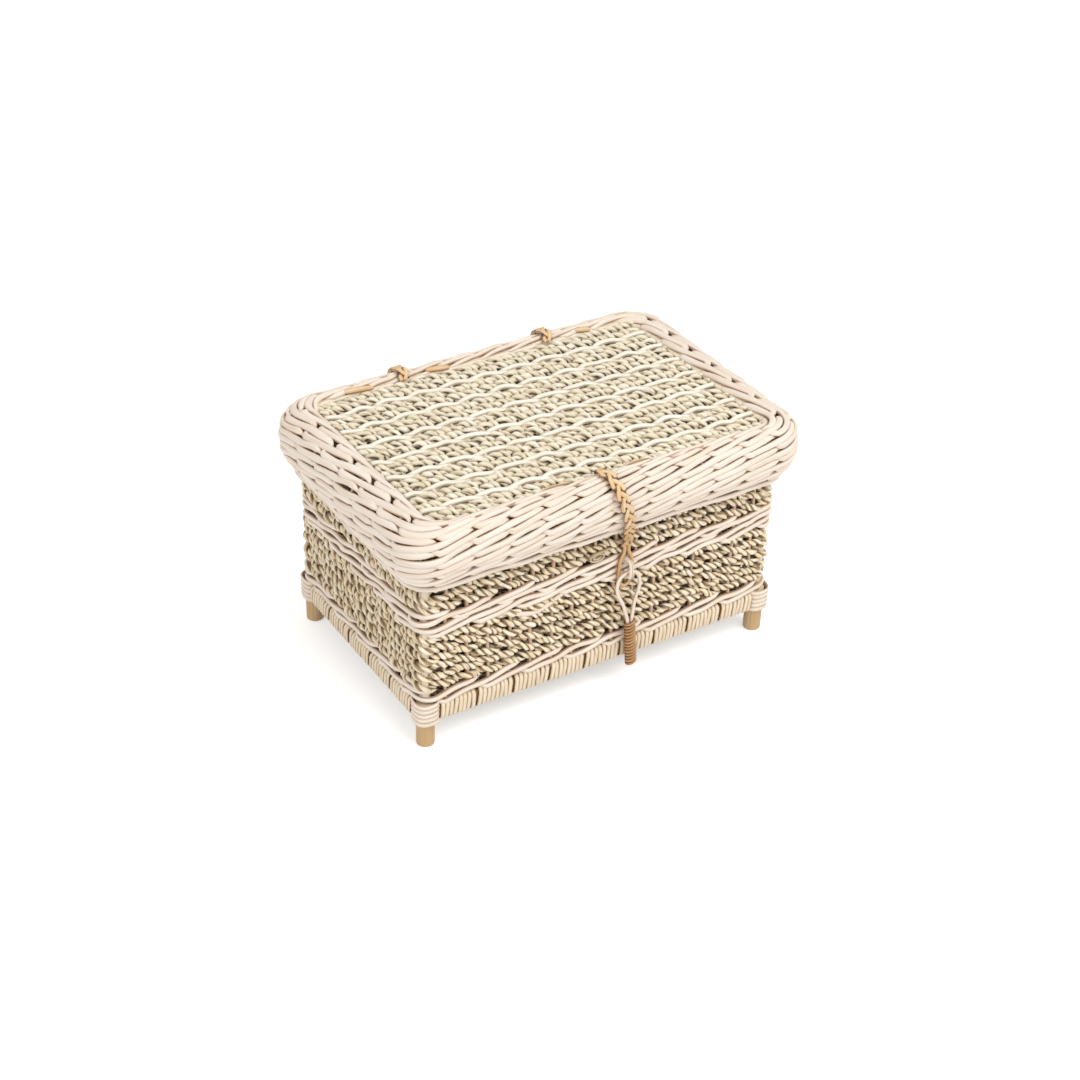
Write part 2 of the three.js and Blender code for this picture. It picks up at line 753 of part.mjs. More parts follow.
// Rounded border, skirt and edge cane, each a band all the way round.
function addLidShell(lid) {
  const border = [
    lidPoint(hoopInnerX, hoopInnerY, borderUnderside),
    ...inRounds(borderOutsideShares.map((share) => borderPoint(share, 0)), false, true),
    ...borderInsideShares.map((share) => borderPoint(share, shellThickness)),
    lidPoint(
      hoopInnerX + hoopWidth + shellThickness,
      hoopInnerY + hoopWidth + seatGap,
      borderUnderside,
    ),
  ];
  addPiece(lid, 'lid_border', band(border), whiteCane);

  const skirt = [
    ...inRounds(skirtOutsideShares.map((share) => skirtPoint(share, 0)), true, false),
    ...[...skirtOutsideShares].reverse().map((share) => skirtPoint(share, shellThickness)),
  ];
  const inner = edgeRadius + runningGap;
  const windowTop = edgeZ + inner + hingeLoopThickness + hingeWindowGap;
  const windowDepth = skirtReach + shellThickness + 2 * cutOverrun;
  const windows = [-1, 1].map((side) => {
    const height = windowTop - skirtBottom + cutOverrun;
    return new THREE.BoxGeometry(hingeLoopWidth + 2 * hingeWindowGap, windowDepth, height)
      .translate(side * hingeSpacing / 2, edgeHalfY, windowTop - height / 2);
  });
  addPiece(lid, 'lid_skirt', cut(band(skirt), windows), whiteCane);

  const edge = [];
  for (let i = 0; i < caneSides; i += 1) {
    const angle = (i + 0.5) / caneSides * Math.PI * 2;
    const out = edgeRadius * Math.cos(angle);
    edge.push(lidPoint(edgeHalfX + out, edgeHalfY + out, edgeZ + edgeRadius * Math.sin(angle)));
  }
  addPiece(lid, 'lid_edge_cane', band(edge), whiteCane);
}

// Middle line of a braid that lies on the lid's outside, from one corner of the outline onward.
// Each place is how far out from the middle of the box, and how high.
function overLid(firstCorner, clearOfEdge) {
  const outside = [
    ...borderOutsideShares.map((share) => borderPoint(share, 0)),
    ...skirtOutsideShares.slice(1).map((share) => skirtPoint(share, 0)),
  ].map((p) => new THREE.Vector2(p.halfY, p.z));
  const lift = braidThickness / 2 + seatGap;
  const normal = (from, to) => new THREE.Vector2(from.y - to.y, to.x - from.x).normalize();
  const lastSpan = outside.length - 2;
  const spanNormal = (i) => normal(outside[i], outside[i + 1]);
  const line = outside.map((p, i) => {
    const before = spanNormal(Math.max(0, i - 1));
    const after = spanNormal(Math.min(lastSpan, i));
    const miter = lift / (1 + before.dot(after));
    return before.add(after).multiplyScalar(miter).add(p);
  });
  const last = line[line.length - 1];
  if (clearOfEdge) line[line.length - 1] = line[line.length - 2].clone().lerp(last, lastStepShare);
  return line.slice(firstCorner);
}

// A braid laid along such a line at the back or front, drawn over from one X to another.
function laidBraid(line, facing, startX, endX) {
  const curve = new THREE.SplineCurve(line);
  const section = ovalShape(braidWidth, braidThickness).getPoints();
  section.pop();
  const rings = [];
  for (let i = 0; i <= braidSteps; i += 1) {
    const share = i / braidSteps;
    const middle = curve.getPointAt(share);
    const along = curve.getTangentAt(share);
    const x = startX + (endX - startX) * share;
    rings.push(section.map((p) => new THREE.Vector3(
      x + p.x,
      facing * (middle.x - along.y * p.y),
      middle.y + along.x * p.y,
    )));
  }
  return skin(rings, false);
}

// Tan braids over the back border, which the hinge loops continue.
function addHingeBraids(lid) {
  for (const [name, side] of [['left', -1], ['right', 1]]) {
    const x = side * hingeSpacing / 2;
    addPiece(lid, `hinge_braid_${name}`, laidBraid(overLid(0, true), 1, x, x), tanCane);
  }
}

// The strap's fixed part, from the crest of the border down the front of the skirt.
// It returns where it ends, out from the middle and up.
function addStrapTop(lid) {
  const line = overLid(1, false);
  addPiece(lid, 'strap_top', laidBraid(line, -1, strapTopX, strapBottomX), tanCane);
  return line[line.length - 1];
}

// The strap's loose part: a tongue that swings on the strap's end, and its eye.
function addStrapTongue(strapEnd) {
  const half = tongueThickness / 2;
  const topY = -strapEnd.x;
  const topZ = strapEnd.y - strapEndDrop;
  const bottomZ = eyeTop + seatGap;
  const along = new THREE.Vector2(eyeY - topY, bottomZ - topZ).normalize();
  const across = new THREE.Vector2(-along.y, along.x).multiplyScalar(half);
  const shape = new THREE.Shape();
  const start = Math.atan2(across.y, across.x);
  shape.absarc(topY, topZ, half, start, start + Math.PI, false);
  shape.lineTo(eyeY - half, bottomZ);
  shape.lineTo(eyeY + half, bottomZ);
  const tongue = plate(shape, braidWidth).rotateX(Math.PI / 2).rotateZ(Math.PI / 2);
  tongue.translate(-braidWidth / 2, 0, 0);
  addPiece(box, 'strap_tongue', closed(tongue), tanCane).position.x = (strapBottomX + claspX) / 2;

  const neckEnd = eyeTop - eyeNeckLength;
  const bottomCentre = eyeBottom + eyeHalfWidth;
  const holeBottomRadius = eyeHalfWidth - eyeStrand;
  const holeTopCentre = neckEnd - eyeHoleTopRadius + eyeStrand;
  const eye = new THREE.Shape();
  eye.moveTo(eyeNeckHalfWidth, eyeTop);
  eye.lineTo(-eyeNeckHalfWidth, eyeTop);
  eye.lineTo(-(eyeHoleTopRadius + eyeStrand), neckEnd);
  eye.absarc(0, bottomCentre, eyeHalfWidth, Math.PI, 2 * Math.PI, false);
  eye.lineTo(eyeHoleTopRadius + eyeStrand, neckEnd);
  const hole = new THREE.Path();
  hole.absarc(0, holeTopCentre, eyeHoleTopRadius, 0, Math.PI, false);
  hole.absarc(0, bottomCentre, holeBottomRadius, Math.PI, 2 * Math.PI, false);
  eye.holes.push(hole);
  const ring = plate(eye, eyeThickness).translate(0, 0, -eyeThickness / 2).rotateX(Math.PI / 2);
  addPiece(box, 'strap_eye', closed(ring), tanCane).position.set(claspX, eyeY, 0);
}

// Peg: a bent cane that hangs in the staple, and the cane wound round its two tails.
function addPeg() {
  const peg = new THREE.Group();
  peg.position.set(claspX, pegY, pegZ);
  peg.rotation.y = -THREE.MathUtils.degToRad(pegLeanDegrees);
  box.add(peg);

  const tail = (pegCane + pegTailGap) / 2;
  const end = -(pegLoopLength + pegTailLength);
  const widest = -pegLoopRadius;
  const reach = (pegLoopLength - pegLoopRadius) / 2;
  const path = new THREE.Path();
  path.moveTo(-tail, end);
  path.lineTo(-tail, -pegLoopLength);
  path.bezierCurveTo(-tail, reach - pegLoopLength, -pegLoopRadius, widest - reach, -pegLoopRadius, widest);
  path.absarc(0, widest, pegLoopRadius, Math.PI, 0, true);
  path.bezierCurveTo(pegLoopRadius, widest - reach, tail, reach - pegLoopLength, tail, -pegLoopLength);
  path.lineTo(tail, end);
  const curve = new LiftedPath(path, (x, z) => new THREE.Vector3(x, 0, z));
  addPiece(peg, 'peg_loop', tubeAlong(curve, ovalShape(pegCane, pegCane), bentCaneSteps), whiteCane);

  const gripLength = gripTurns * gripPitch;
  const grip = winding(
    tail + pegCane / 2 + gripClearance,
    pegCane / 2 + gripClearance + gripFill,
    gripTurns,
    gripPitch,
    gripBandWidth,
    gripBandThickness,
    windingSteps,
    'peg_winding',
  );
  addPiece(peg, 'peg_winding', grip, tanCane).position.z = -pegLoopLength - gripLength;
}

addLegs();
addBindings();
addBaseBorder();
addFloor();
addWall();
addHingeLoops();
addStaple();

const lid = new THREE.Group();
box.add(lid);
addLidPanel(lid);
addLidShell(lid);
addHingeBraids(lid);
addStrapTongue(addStrapTop(lid));
addPeg();

export default box;
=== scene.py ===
"""Woven lidded box: twined seagrass walls between rows of peeled cane, on four pole feet.

The lid is framed in a bulging border of cane and hangs on two tan hinge braids. A tan strap
comes down the front to an eye over a cane staple, and a wound peg hangs in the staple.
Lengths are in millimetres, but those of the floor, the lamps and the view's end in metres.
"""

import logging
import math
from dataclasses import dataclass, field
from enum import Enum, IntEnum

import bpy
import numpy as np
from mathutils import Matrix, Vector


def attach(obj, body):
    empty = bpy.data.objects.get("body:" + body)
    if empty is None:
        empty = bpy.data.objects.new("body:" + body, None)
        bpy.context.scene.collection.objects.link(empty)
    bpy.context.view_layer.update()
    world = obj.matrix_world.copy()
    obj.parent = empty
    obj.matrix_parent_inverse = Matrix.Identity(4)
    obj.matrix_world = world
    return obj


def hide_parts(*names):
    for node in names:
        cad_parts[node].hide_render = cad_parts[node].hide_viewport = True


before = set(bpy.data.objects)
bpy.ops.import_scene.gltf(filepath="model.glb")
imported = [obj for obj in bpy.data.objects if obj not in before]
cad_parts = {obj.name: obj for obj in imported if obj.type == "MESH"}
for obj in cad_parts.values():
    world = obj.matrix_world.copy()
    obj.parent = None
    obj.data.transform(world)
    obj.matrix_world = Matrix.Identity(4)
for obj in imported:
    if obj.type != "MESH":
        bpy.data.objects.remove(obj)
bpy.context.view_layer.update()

MM = 0.001
STRAND_MAP = "strand"
TONE = "tone"
# The attribute of painted shade: how deep in a cleft each corner lies, by which its colour is darkened.
PAINTED_CLEFT_SHADE = "cleft"
# How far the patterns of two strands lie apart, so that no two look alike.
STRANDS_APART = 97.0
FIBRE_IOR = 1.46
COAT_ROUGHNESS = 0.3
PATCH_DETAIL, STREAK_DETAIL = 2.0, 3.0
UP, FRONT, RIGHT = (0.0, 0.0, 1.0), (0.0, -1.0, 0.0), (1.0, 0.0, 0.0)
# A strand's facet lies in a cleft where it looks sideways, and is bare where it looks out. Shade is painted
# into the cleft.
SIDE_SHADE, SIDE_FALL = 1.12, 1.3
# Where others lie over a strand, shade is painted most on what looks out, which they cover.
COVER_SHADE, COVER_RISE = 0.6, 0.8
ROUND_SIDES, FINE_SIDES = 8, 10
SPLINE_STEPS = 24
# The sockets of a Mix node that mixes colours.
MIX_FACTOR, MIX_A, MIX_B, MIX_RESULT = 0, 6, 7, 2
log = logging.getLogger("woven_box")


class Seed(IntEnum):
    """The seed of each piece's unevenness, to which its rows, rounds or parts add their number."""

    WALL_STAKES = 11
    BASE_WALE = 21
    LOWER_SEAGRASS = 31
    MIDDLE_WALE = 41
    LOOSE_CANE = 45
    CURL = 46
    UPPER_SEAGRASS = 51
    RIM = 61
    FLOOR = 71
    LID_PANEL = 81
    LID_ROUNDS = 101
    LID_STAKES = 121
    LID_EDGE = 131
    LID_ENDS = 141
    HINGE_BRAID = 201
    HINGE_LOOP = 211
    STRAP = 221
    TONGUE = 222
    EYE = 223
    STAPLE = 224
    PEG = 225
    GRIP = 226
    BASE = 301


def linear(code: str) -> tuple[float, float, float, float]:
    """Turn an sRGB hex colour to linear light.

    Args:
        code: six hex digits, such as "f0e0d0".

    Returns:
        Red, green, blue and an alpha of 1.
    """
    shares = [int(code[i:i + 2], 16) / 255 for i in (0, 2, 4)]
    bent = [s / 12.92 if s <= 0.04045 else ((s + 0.055) / 1.055) ** 2.4 for s in shares]
    return (*bent, 1.0)


def add_node(tree: bpy.types.NodeTree, kind: str, inputs: dict | None = None, **settings: object
             ) -> bpy.types.Node:
    """Add a shader node with its settings and links.

    Args:
        tree: the material's node tree.
        kind: the node's type name.
        inputs: a value or a source socket for each input, by name or number.
        settings: the node's own properties.

    Returns:
        The new node.
    """
    made = tree.nodes.new(kind)
    for name, value in settings.items():
        setattr(made, name, value)
    for socket, value in (inputs or {}).items():
        if isinstance(value, bpy.types.NodeSocket):
            tree.links.new(value, made.inputs[socket])
        else:
            made.inputs[socket].default_value = value
    return made


class Grain(Enum):
    """The way that a finish's streaks run on a piece."""

    STRAND = "along the strand, by its own map"
    X = "along X"
    Y = "along Y"
    Z = "upright"


@dataclass(frozen=True)
class Finish:
    """A plant fibre with streaks along its length.

    Each range says at which values of its noise, or of a cleft's depth, a colour begins to
    show and is full. Its share says how much of the colour then shows.
    """

    title: str
    body: str
    light: str
    dark: str
    # Shade and deep are colours of painted shade, laid into the shallow and the deep clefts where strands
    # meet or go behind others.
    shade: str
    deep: str
    shade_share: float = 0.6
    streak_width: float = 0.7
    streak_length: float = 30.0
    patch_length: float = 45.0
    patch_share: float = 0.5
    streak_share: float = 0.5
    roughness: float = 0.55
    relief: float = 0.08
    coat: float = 0.0
    grain: Grain = Grain.STRAND
    patch_range: tuple[float, float] = (0.42, 0.68)
    streak_range: tuple[float, float] = (0.5, 0.75)
    cleft_range: tuple[float, float] = (0.45, 1.05)
    deep_range: tuple[float, float] = (1.1, 1.9)
    deep_share: float = 0.95
    patch_stretch: float = 3.0

    def coordinates(self, tree: bpy.types.NodeTree, across: float, along: float) -> bpy.types.NodeSocket:
        """Give a pattern's coordinates, stretched along the grain and apart on each strand.

        Args:
            tree: the material's node tree.
            across: the pattern's size across the grain.
            along: its size along the grain.

        Returns:
            A vector socket.
        """
        fine, coarse = 1 / (across * MM), 1 / (along * MM)
        if self.grain is not Grain.STRAND:
            source = add_node(tree, "ShaderNodeTexCoord").outputs["Object"]
            scale = [coarse if self.grain.name == axis else fine for axis in "XYZ"]
            return add_node(tree, "ShaderNodeMapping", {"Vector": source, "Scale": scale}).outputs[0]
        strand = add_node(tree, "ShaderNodeUVMap", uv_map=STRAND_MAP).outputs[0]
        scaled = add_node(tree, "ShaderNodeMapping", {"Vector": strand, "Scale": (coarse, fine, 1)})
        tone = add_node(tree, "ShaderNodeAttribute", attribute_name=TONE).outputs["Fac"]
        apart = add_node(tree, "ShaderNodeMath", {0: tone, 1: STRANDS_APART}, operation="MULTIPLY")
        lift = add_node(tree, "ShaderNodeCombineXYZ", {"X": apart.outputs[0], "Z": apart.outputs[0]})
        moved = {0: scaled.outputs[0], 1: lift.outputs[0]}
        return add_node(tree, "ShaderNodeVectorMath", moved, operation="ADD").outputs[0]

    def colour(self, tree: bpy.types.NodeTree, streaks: bpy.types.NodeSocket) -> bpy.types.NodeSocket:
        """Mix the finish's colours by its streaks and patches.

        Args:
            tree: the material's node tree.
            streaks: the streak noise.

        Returns:
            The surface colour.
        """
        patches = add_node(tree, "ShaderNodeTexNoise", {
            "Vector": self.coordinates(tree, self.patch_length / self.patch_stretch, self.patch_length),
            "Scale": 1.0,
            "Detail": PATCH_DETAIL,
        })
        pale = add_node(tree, "ShaderNodeMapRange", {
            "Value": patches.outputs["Fac"],
            "From Min": self.patch_range[0],
            "From Max": self.patch_range[1],
            "To Max": self.patch_share,
        })
        colours = {MIX_FACTOR: pale.outputs[0], MIX_A: linear(self.body), MIX_B: linear(self.light)}
        base = add_node(tree, "ShaderNodeMix", colours, data_type="RGBA")
        stain = add_node(tree, "ShaderNodeMapRange", {
            "Value": streaks,
            "From Min": self.streak_range[0],
            "From Max": self.streak_range[1],
            "To Max": self.streak_share,
        })
        colours = {MIX_FACTOR: stain.outputs[0], MIX_A: base.outputs[MIX_RESULT], MIX_B: linear(self.dark)}
        return add_node(tree, "ShaderNodeMix", colours, data_type="RGBA").outputs[MIX_RESULT]

    def paint_cleft_shade(self, tree: bpy.types.NodeTree, base: bpy.types.NodeSocket) -> bpy.types.NodeSocket:
        """Paint shade into the clefts, where strands meet and where they go behind others.

        Args:
            tree: the material's node tree.
            base: the surface colour.

        Returns:
            The colour with painted shade in its clefts.
        """
        cleft = add_node(tree, "ShaderNodeAttribute", attribute_name=PAINTED_CLEFT_SHADE).outputs["Fac"]
        steps = (
            (self.cleft_range, self.shade_share, self.shade),
            (self.deep_range, self.deep_share, self.deep),
        )
        for (low, high), most, colour in steps:
            limits = {"Value": cleft, "From Min": low, "From Max": high, "To Max": most}
            share = add_node(tree, "ShaderNodeMapRange", limits).outputs[0]
            colours = {MIX_FACTOR: share, MIX_A: base, MIX_B: linear(colour)}
            base = add_node(tree, "ShaderNodeMix", colours, data_type="RGBA").outputs[MIX_RESULT]
        return base

    def build(self) -> bpy.types.Material:
        """Make the material.

        Returns:
            A node material.
        """
        known = bpy.data.materials.get(self.title)
        if known:
            return known
        material = bpy.data.materials.new(self.title)
        material.use_nodes = True
        tree = material.node_tree
        tree.nodes.clear()
        streaks = add_node(tree, "ShaderNodeTexNoise", {
            "Vector": self.coordinates(tree, self.streak_width, self.streak_length),
            "Scale": 1.0,
            "Detail": STREAK_DETAIL,
        }).outputs["Fac"]
        relief = {"Height": streaks, "Distance": self.relief * MM, "Strength": 1.0}
        bump = add_node(tree, "ShaderNodeBump", relief)
        shader = add_node(tree, "ShaderNodeBsdfPrincipled", {
            "Base Color": self.paint_cleft_shade(tree, self.colour(tree, streaks)),
            "Roughness": self.roughness,
            "IOR": FIBRE_IOR,
            "Coat Weight": self.coat,
            "Coat Roughness": COAT_ROUGHNESS,
            "Normal": bump.outputs[0],
        })
        add_node(tree, "ShaderNodeOutputMaterial", {"Surface": shader.outputs[0]})
        return material


@dataclass(frozen=True)
class Seagrass(Finish):
    """Twisted seagrass: dried leaf, ridged, from green straw to olive brown."""

    flecks: str = "7a6236"
    fleck_width: float = 1.6
    fleck_length: float = 7.0
    fleck_range: tuple[float, float] = (0.6, 0.72)
    fleck_share: float = 0.5

    def colour(self, tree: bpy.types.NodeTree, streaks: bpy.types.NodeSocket) -> bpy.types.NodeSocket:
        """Add the short brown flecks of old leaf to the streaked colour.

        Args:
            tree: the material's node tree.
            streaks: the streak noise.

        Returns:
            The surface colour.
        """
        marks = add_node(tree, "ShaderNodeTexNoise", {
            "Vector": self.coordinates(tree, self.fleck_width, self.fleck_length),
            "Scale": 1.0,
            "Detail": PATCH_DETAIL,
        })
        share = add_node(tree, "ShaderNodeMapRange", {
            "Value": marks.outputs["Fac"],
            "From Min": self.fleck_range[0],
            "From Max": self.fleck_range[1],
            "To Max": self.fleck_share,
        })
        base = super().colour(tree, streaks)
        colours = {MIX_FACTOR: share.outputs[0], MIX_A: base, MIX_B: linear(self.flecks)}
        return add_node(tree, "ShaderNodeMix", colours, data_type="RGBA").outputs[MIX_RESULT]


@dataclass(frozen=True)
class Pole(Finish):
    """An upright pole: yellowed foot, and a pale upper part that the weave covers."""

    covered: str = "e6d8c0"
    cover_start: float = 33.0
    cover_blend: float = 6.0

    def colour(self, tree: bpy.types.NodeTree, streaks: bpy.types.NodeSocket) -> bpy.types.NodeSocket:
        """Fade the wood's colour to the covered part's, upward.

        Args:
            tree: the material's node tree.
            streaks: the streak noise.

        Returns:
            The surface colour.
        """
        place = add_node(tree, "ShaderNodeTexCoord").outputs["Object"]
        share = add_node(tree, "ShaderNodeMapRange", {
            "Value": add_node(tree, "ShaderNodeSeparateXYZ", {0: place}).outputs["Z"],
            "From Min": self.cover_start * MM,
            "From Max": (self.cover_start + self.cover_blend) * MM,
        })
        base = super().colour(tree, streaks)
        colours = {MIX_FACTOR: share.outputs[0], MIX_A: base, MIX_B: linear(self.covered)}
        return add_node(tree, "ShaderNodeMix", colours, data_type="RGBA").outputs[MIX_RESULT]


# Rattan core, peeled and left pale: long faint streaks and a dull waxy surface.
PEELED_CANE = Finish(
    "peeled_rattan_core", "ebdccc", "faf2e7", "d9b68c", "9c6a35", "20140a", 0.8,
    streak_width=0.9, streak_length=38, patch_length=60, streak_share=0.5, roughness=0.5, relief=0.06,
)
# The same core on the lid's panel, painted paler as painted light from above, with lighter painted shade in
# its clefts.
TOP_LIT_CANE = Finish(
    "rattan_core_painted_top_light", "f2eadb", "fbf7ee", "d9c8a4", "a58a58", "2a1c0e", 0.7,
    streak_width=0.9, streak_length=30, patch_length=40, streak_share=0.5, roughness=0.5, relief=0.06,
)
# Split cane, flat and creamy: its hard outer skin gives a slight shine.
SPLIT_CANE = Finish(
    "split_flat_cane", "ead8bb", "f6ebd6", "c9a878", "8f6230", "3b2a17", 0.6,
    streak_width=0.5, streak_length=12, patch_length=16, streak_share=0.6, roughness=0.42,
    relief=0.05, grain=Grain.Z,
)
# The same cane round the corners, where its streaks run level.
BINDING_CANE = Finish(
    "split_cane_round_corners", "eddecb", "f9f0e2", "d4b588", "8f6230", "3b2a17", 0.6,
    streak_width=0.5, streak_length=12, patch_length=16, streak_share=0.5, roughness=0.42,
    relief=0.05, grain=Grain.X,
)
# Twisted seagrass cord: dull ridged leaf that goes from pale straw to olive.
SEAGRASS = Seagrass(
    "twisted_seagrass", "f0e0c0", "faf2de", "c8a06c", "84602f", "150e06", 0.75,
    streak_width=0.8, streak_length=9, patch_length=22, patch_share=0.85, streak_share=0.75,
    roughness=0.68, relief=0.2,
)
# The same grass on the lid, painted paler as painted light from above, with lighter painted shade in its
# clefts and darker in its deepest gaps.
TOP_LIT_SEAGRASS = Seagrass(
    "seagrass_painted_top_light", "e9dec4", "faf4e4", "cbb384", "9c7742", "150e06", 0.62, fleck_share=0.4,
    cleft_range=(0.6, 1.3), deep_range=(1.0, 1.45),
    streak_width=0.8, streak_length=9, patch_length=22, patch_share=0.85, streak_share=0.6,
    roughness=0.68, relief=0.2,
)
# Rattan with its skin left on: warm tan, smooth and a little glossy.
SKIN_CANE = Finish(
    "skin_on_tan_cane", "e4bd8b", "f5e0bf", "a0703a", "5e3a17", "241506", 1.0,
    streak_width=0.6, streak_length=16, patch_length=14, streak_share=0.65, roughness=0.38,
    relief=0.05, coat=0.15,
)
# The same cane at the strap's end: a little darker, partly from wear where hands pull it and partly painted
# shade under the lid's overhang.
WORN_SHADED_CANE = Finish(
    "worn_and_shaded_tan_cane", "cfa36c", "e6c394", "8f6233", "4c2f14", "241506", 1.0,
    streak_width=0.6, streak_length=16, patch_length=12, streak_share=0.7, roughness=0.36,
    relief=0.05, coat=0.2,
)
# The same cane where hands take hold of it, on the peg's grip: the darkest.
HANDLED_CANE = Finish(
    "handled_tan_cane", "b27f48", "cfa26c", "754c24", "3a220b", "241506", 0.95,
    streak_width=0.6, streak_length=14, patch_length=9, streak_share=0.75, roughness=0.36,
    relief=0.05, coat=0.2,
)
# Peeled willow pole: dry yellow wood with long grain, paler where the weave covers it.
POLE_UP = Pole(
    "peeled_willow_pole_upright", "c4a376", "d8bf96", "9a7746", "8a6a3c", "3b2a17",
    streak_width=1.2, streak_length=40, patch_length=30, streak_share=0.6, roughness=0.6,
    relief=0.12, grain=Grain.Z,
)
# The rods of the base: the same pole with its brown skin on.
POLE_ALONG_X = Finish(
    "brown_willow_pole_along_x", "a87b48", "bd9260", "7c5529", "6b451d", "3d2710",
    streak_width=1.2, streak_length=40, patch_length=30, streak_share=0.6, roughness=0.6,
    relief=0.12, grain=Grain.X,
)
POLE_ALONG_Y = Finish(
    "brown_willow_pole_along_y", "a87b48", "bd9260", "7c5529", "6b451d", "3d2710",
    streak_width=1.2, streak_length=40, patch_length=30, streak_share=0.6, roughness=0.6,
    relief=0.12, grain=Grain.Y,
)
# The lid's hoop: pale peeled cane, bent round.
HOOP_CANE = Finish(
    "peeled_hoop_cane", "efe0ca", "f8efe0", "cfb089", "b98a5c", "3b2a17",
    streak_width=1.0, streak_length=30, patch_length=30, roughness=0.5, relief=0.06, grain=Grain.X,
)


def dress(piece: bpy.types.Object, finish: Finish, body: str, slot: str, *nodes: str) -> None:
    """Give a piece its material and its body, and hide the CAD nodes that it stands for.

    Args:
        piece: the finished piece.
        finish: its finish.
        body: the CAD body that it rides on.
        slot: the record's material slot. It is not used.
        nodes: the CAD nodes that it replaces.
    """
    piece.data.materials.clear()
    piece.data.materials.append(finish.build())
    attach(piece, body)
    if nodes:
        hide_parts(*nodes)
    log.info("%s: %d faces, rides on %s", piece.name, len(piece.data.polygons), body)


def dress_node(name: str, finish: Finish) -> None:
    """Give a CAD node that stays its material.

    Args:
        name: the node's name.
        finish: its finish.
    """
    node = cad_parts[name]
    node.data.materials.clear()
    node.data.materials.append(finish.build())
    log.info("%s: CAD node kept", name)


@dataclass(frozen=True)
class Sway:
    """A smooth unevenness by its usual size and the lengths of its shortest and longest waves."""

    size: float
    shortest: float
    longest: float
    waves: int = 14

    def draw(self, along: np.ndarray, length: float, rng: np.random.Generator) -> np.ndarray:
        """Draw one course of it, which closes on itself after a length.

        Args:
            along: places along the strand.
            length: the length after which it repeats.
            rng: the seeded source of the waves.

        Returns:
            One value for each place.
        """
        low = max(1, round(length / self.longest))
        counts = rng.integers(low, max(low + 2, round(length / self.shortest) + 1), self.waves)
        starts = rng.uniform(0, 2 * math.pi, self.waves)
        angles = 2 * math.pi * np.outer(along, counts) / length + starts
        return self.size * np.sin(angles).sum(1) / math.sqrt(self.waves / 2)


def unit(vectors: np.ndarray) -> np.ndarray:
    """Give vectors a length of 1."""
    return vectors / np.linalg.norm(vectors, axis=-1, keepdims=True)


def directions(centre: np.ndarray, facing: np.ndarray | tuple, closed: bool
               ) -> tuple[np.ndarray, np.ndarray, np.ndarray]:
    """Find the directions of a strand at each of its points.

    Args:
        centre: its middle line.
        facing: the way that its face looks, at each point or all along it.
        closed: whether its end meets its start.

    Returns:
        The direction along it, the face's direction square to that, and the direction across.
    """
    if closed:
        along = np.roll(centre, -1, 0) - np.roll(centre, 1, 0)
    else:
        along = np.gradient(centre, axis=0)
    along = unit(along)
    across = unit(np.cross(along, facing))
    return along, np.cross(across, along), across


def painted_shade_depth(face: np.ndarray, across: np.ndarray, angle: np.ndarray, buried: np.ndarray,
                outside: np.ndarray | None) -> np.ndarray:
    """Tell how deep in a cleft each corner of a tube lies, for the shade painted there.

    Args:
        face: the face's direction at each point of the strand.
        across: the direction across it.
        angle: the corners' angles round the tube.
        buried: how far the strand lies behind others, at each point.
        outside: the way out of the weave, where the face looks another way.

    Returns:
        One value for each corner, point by point.
    """
    facing_out = np.sin(angle)[None, :] * np.ones((len(face), 1))
    bare = np.abs(facing_out)
    if outside is not None:
        bare = np.maximum(facing_out, 0)
        normals = across[:, None, :] * np.cos(angle)[:, None] + face[:, None, :] * np.sin(angle)[:, None]
        facing_out = (normals * outside[:, None, :]).sum(-1)
    beside = np.clip(SIDE_SHADE - SIDE_FALL * bare, 0, 1)
    covered = np.clip(COVER_SHADE + COVER_RISE * facing_out, 0, 1)
    return (beside + covered * buried[:, None]).ravel()


@dataclass(frozen=True)
class RoundPlan:
    """Plan of a rounded rectangle, walked from the front's left end to the right and round."""

    half_x: float
    half_y: float
    radius: float

    def lengths(self) -> np.ndarray:
        """Measure its four sides and four corners.

        Returns:
            Their lengths in turn.
        """
        side_x, side_y = 2 * (self.half_x - self.radius), 2 * (self.half_y - self.radius)
        corner = math.pi / 2 * self.radius
        return np.array([side_x, corner, side_y, corner] * 2)

    def girth(self) -> float:
        """Give the whole way round."""
        return float(self.lengths().sum())

    def front_middle(self) -> float:
        """Find the place of the front's middle."""
        return float(self.lengths()[0]) / 2

    def back_middle(self) -> float:
        """Find the place of the back's middle, half way round from the front's."""
        return self.front_middle() + self.girth() / 2

    def place(self, along: np.ndarray, half_x: np.ndarray, half_y: np.ndarray, radius: np.ndarray
              ) -> tuple[np.ndarray, np.ndarray]:
        """Find points on a rounded rectangle of another size, by places along this one.

        Args:
            along: places along this plan.
            half_x: half the other's width, for each place.
            half_y: half its depth.
            radius: its corner radius.

        Returns:
            The points and the outward directions, in plan.
        """
        lengths = self.lengths()
        ends = np.cumsum(lengths)
        walked = np.mod(along, ends[-1])
        part = np.minimum(np.searchsorted(ends, walked, side="right"), len(ends) - 1)
        share = (walked - (ends - lengths)[part]) / lengths[part]
        quarter = part // 2
        straight = part % 2 == 0
        start = (quarter - 1) * math.pi / 2
        angle = np.where(straight, start, start + share * math.pi / 2)
        outward = np.stack([np.cos(angle), np.sin(angle)], -1)
        ahead = np.stack([-np.sin(start), np.cos(start)], -1)
        facing = np.stack([np.cos(start), np.sin(start)], -1)
        side_on = quarter % 2 == 0
        run = np.where(side_on, half_x, half_y) - radius
        reach = np.where(side_on, half_y, half_x)
        on_side = facing * reach[:, None] + ahead * ((2 * share - 1) * run)[:, None]
        corner = facing * (reach - radius)[:, None] + ahead * run[:, None]
        on_corner = corner + outward * radius[:, None]
        return np.where(straight[:, None], on_side, on_corner), outward


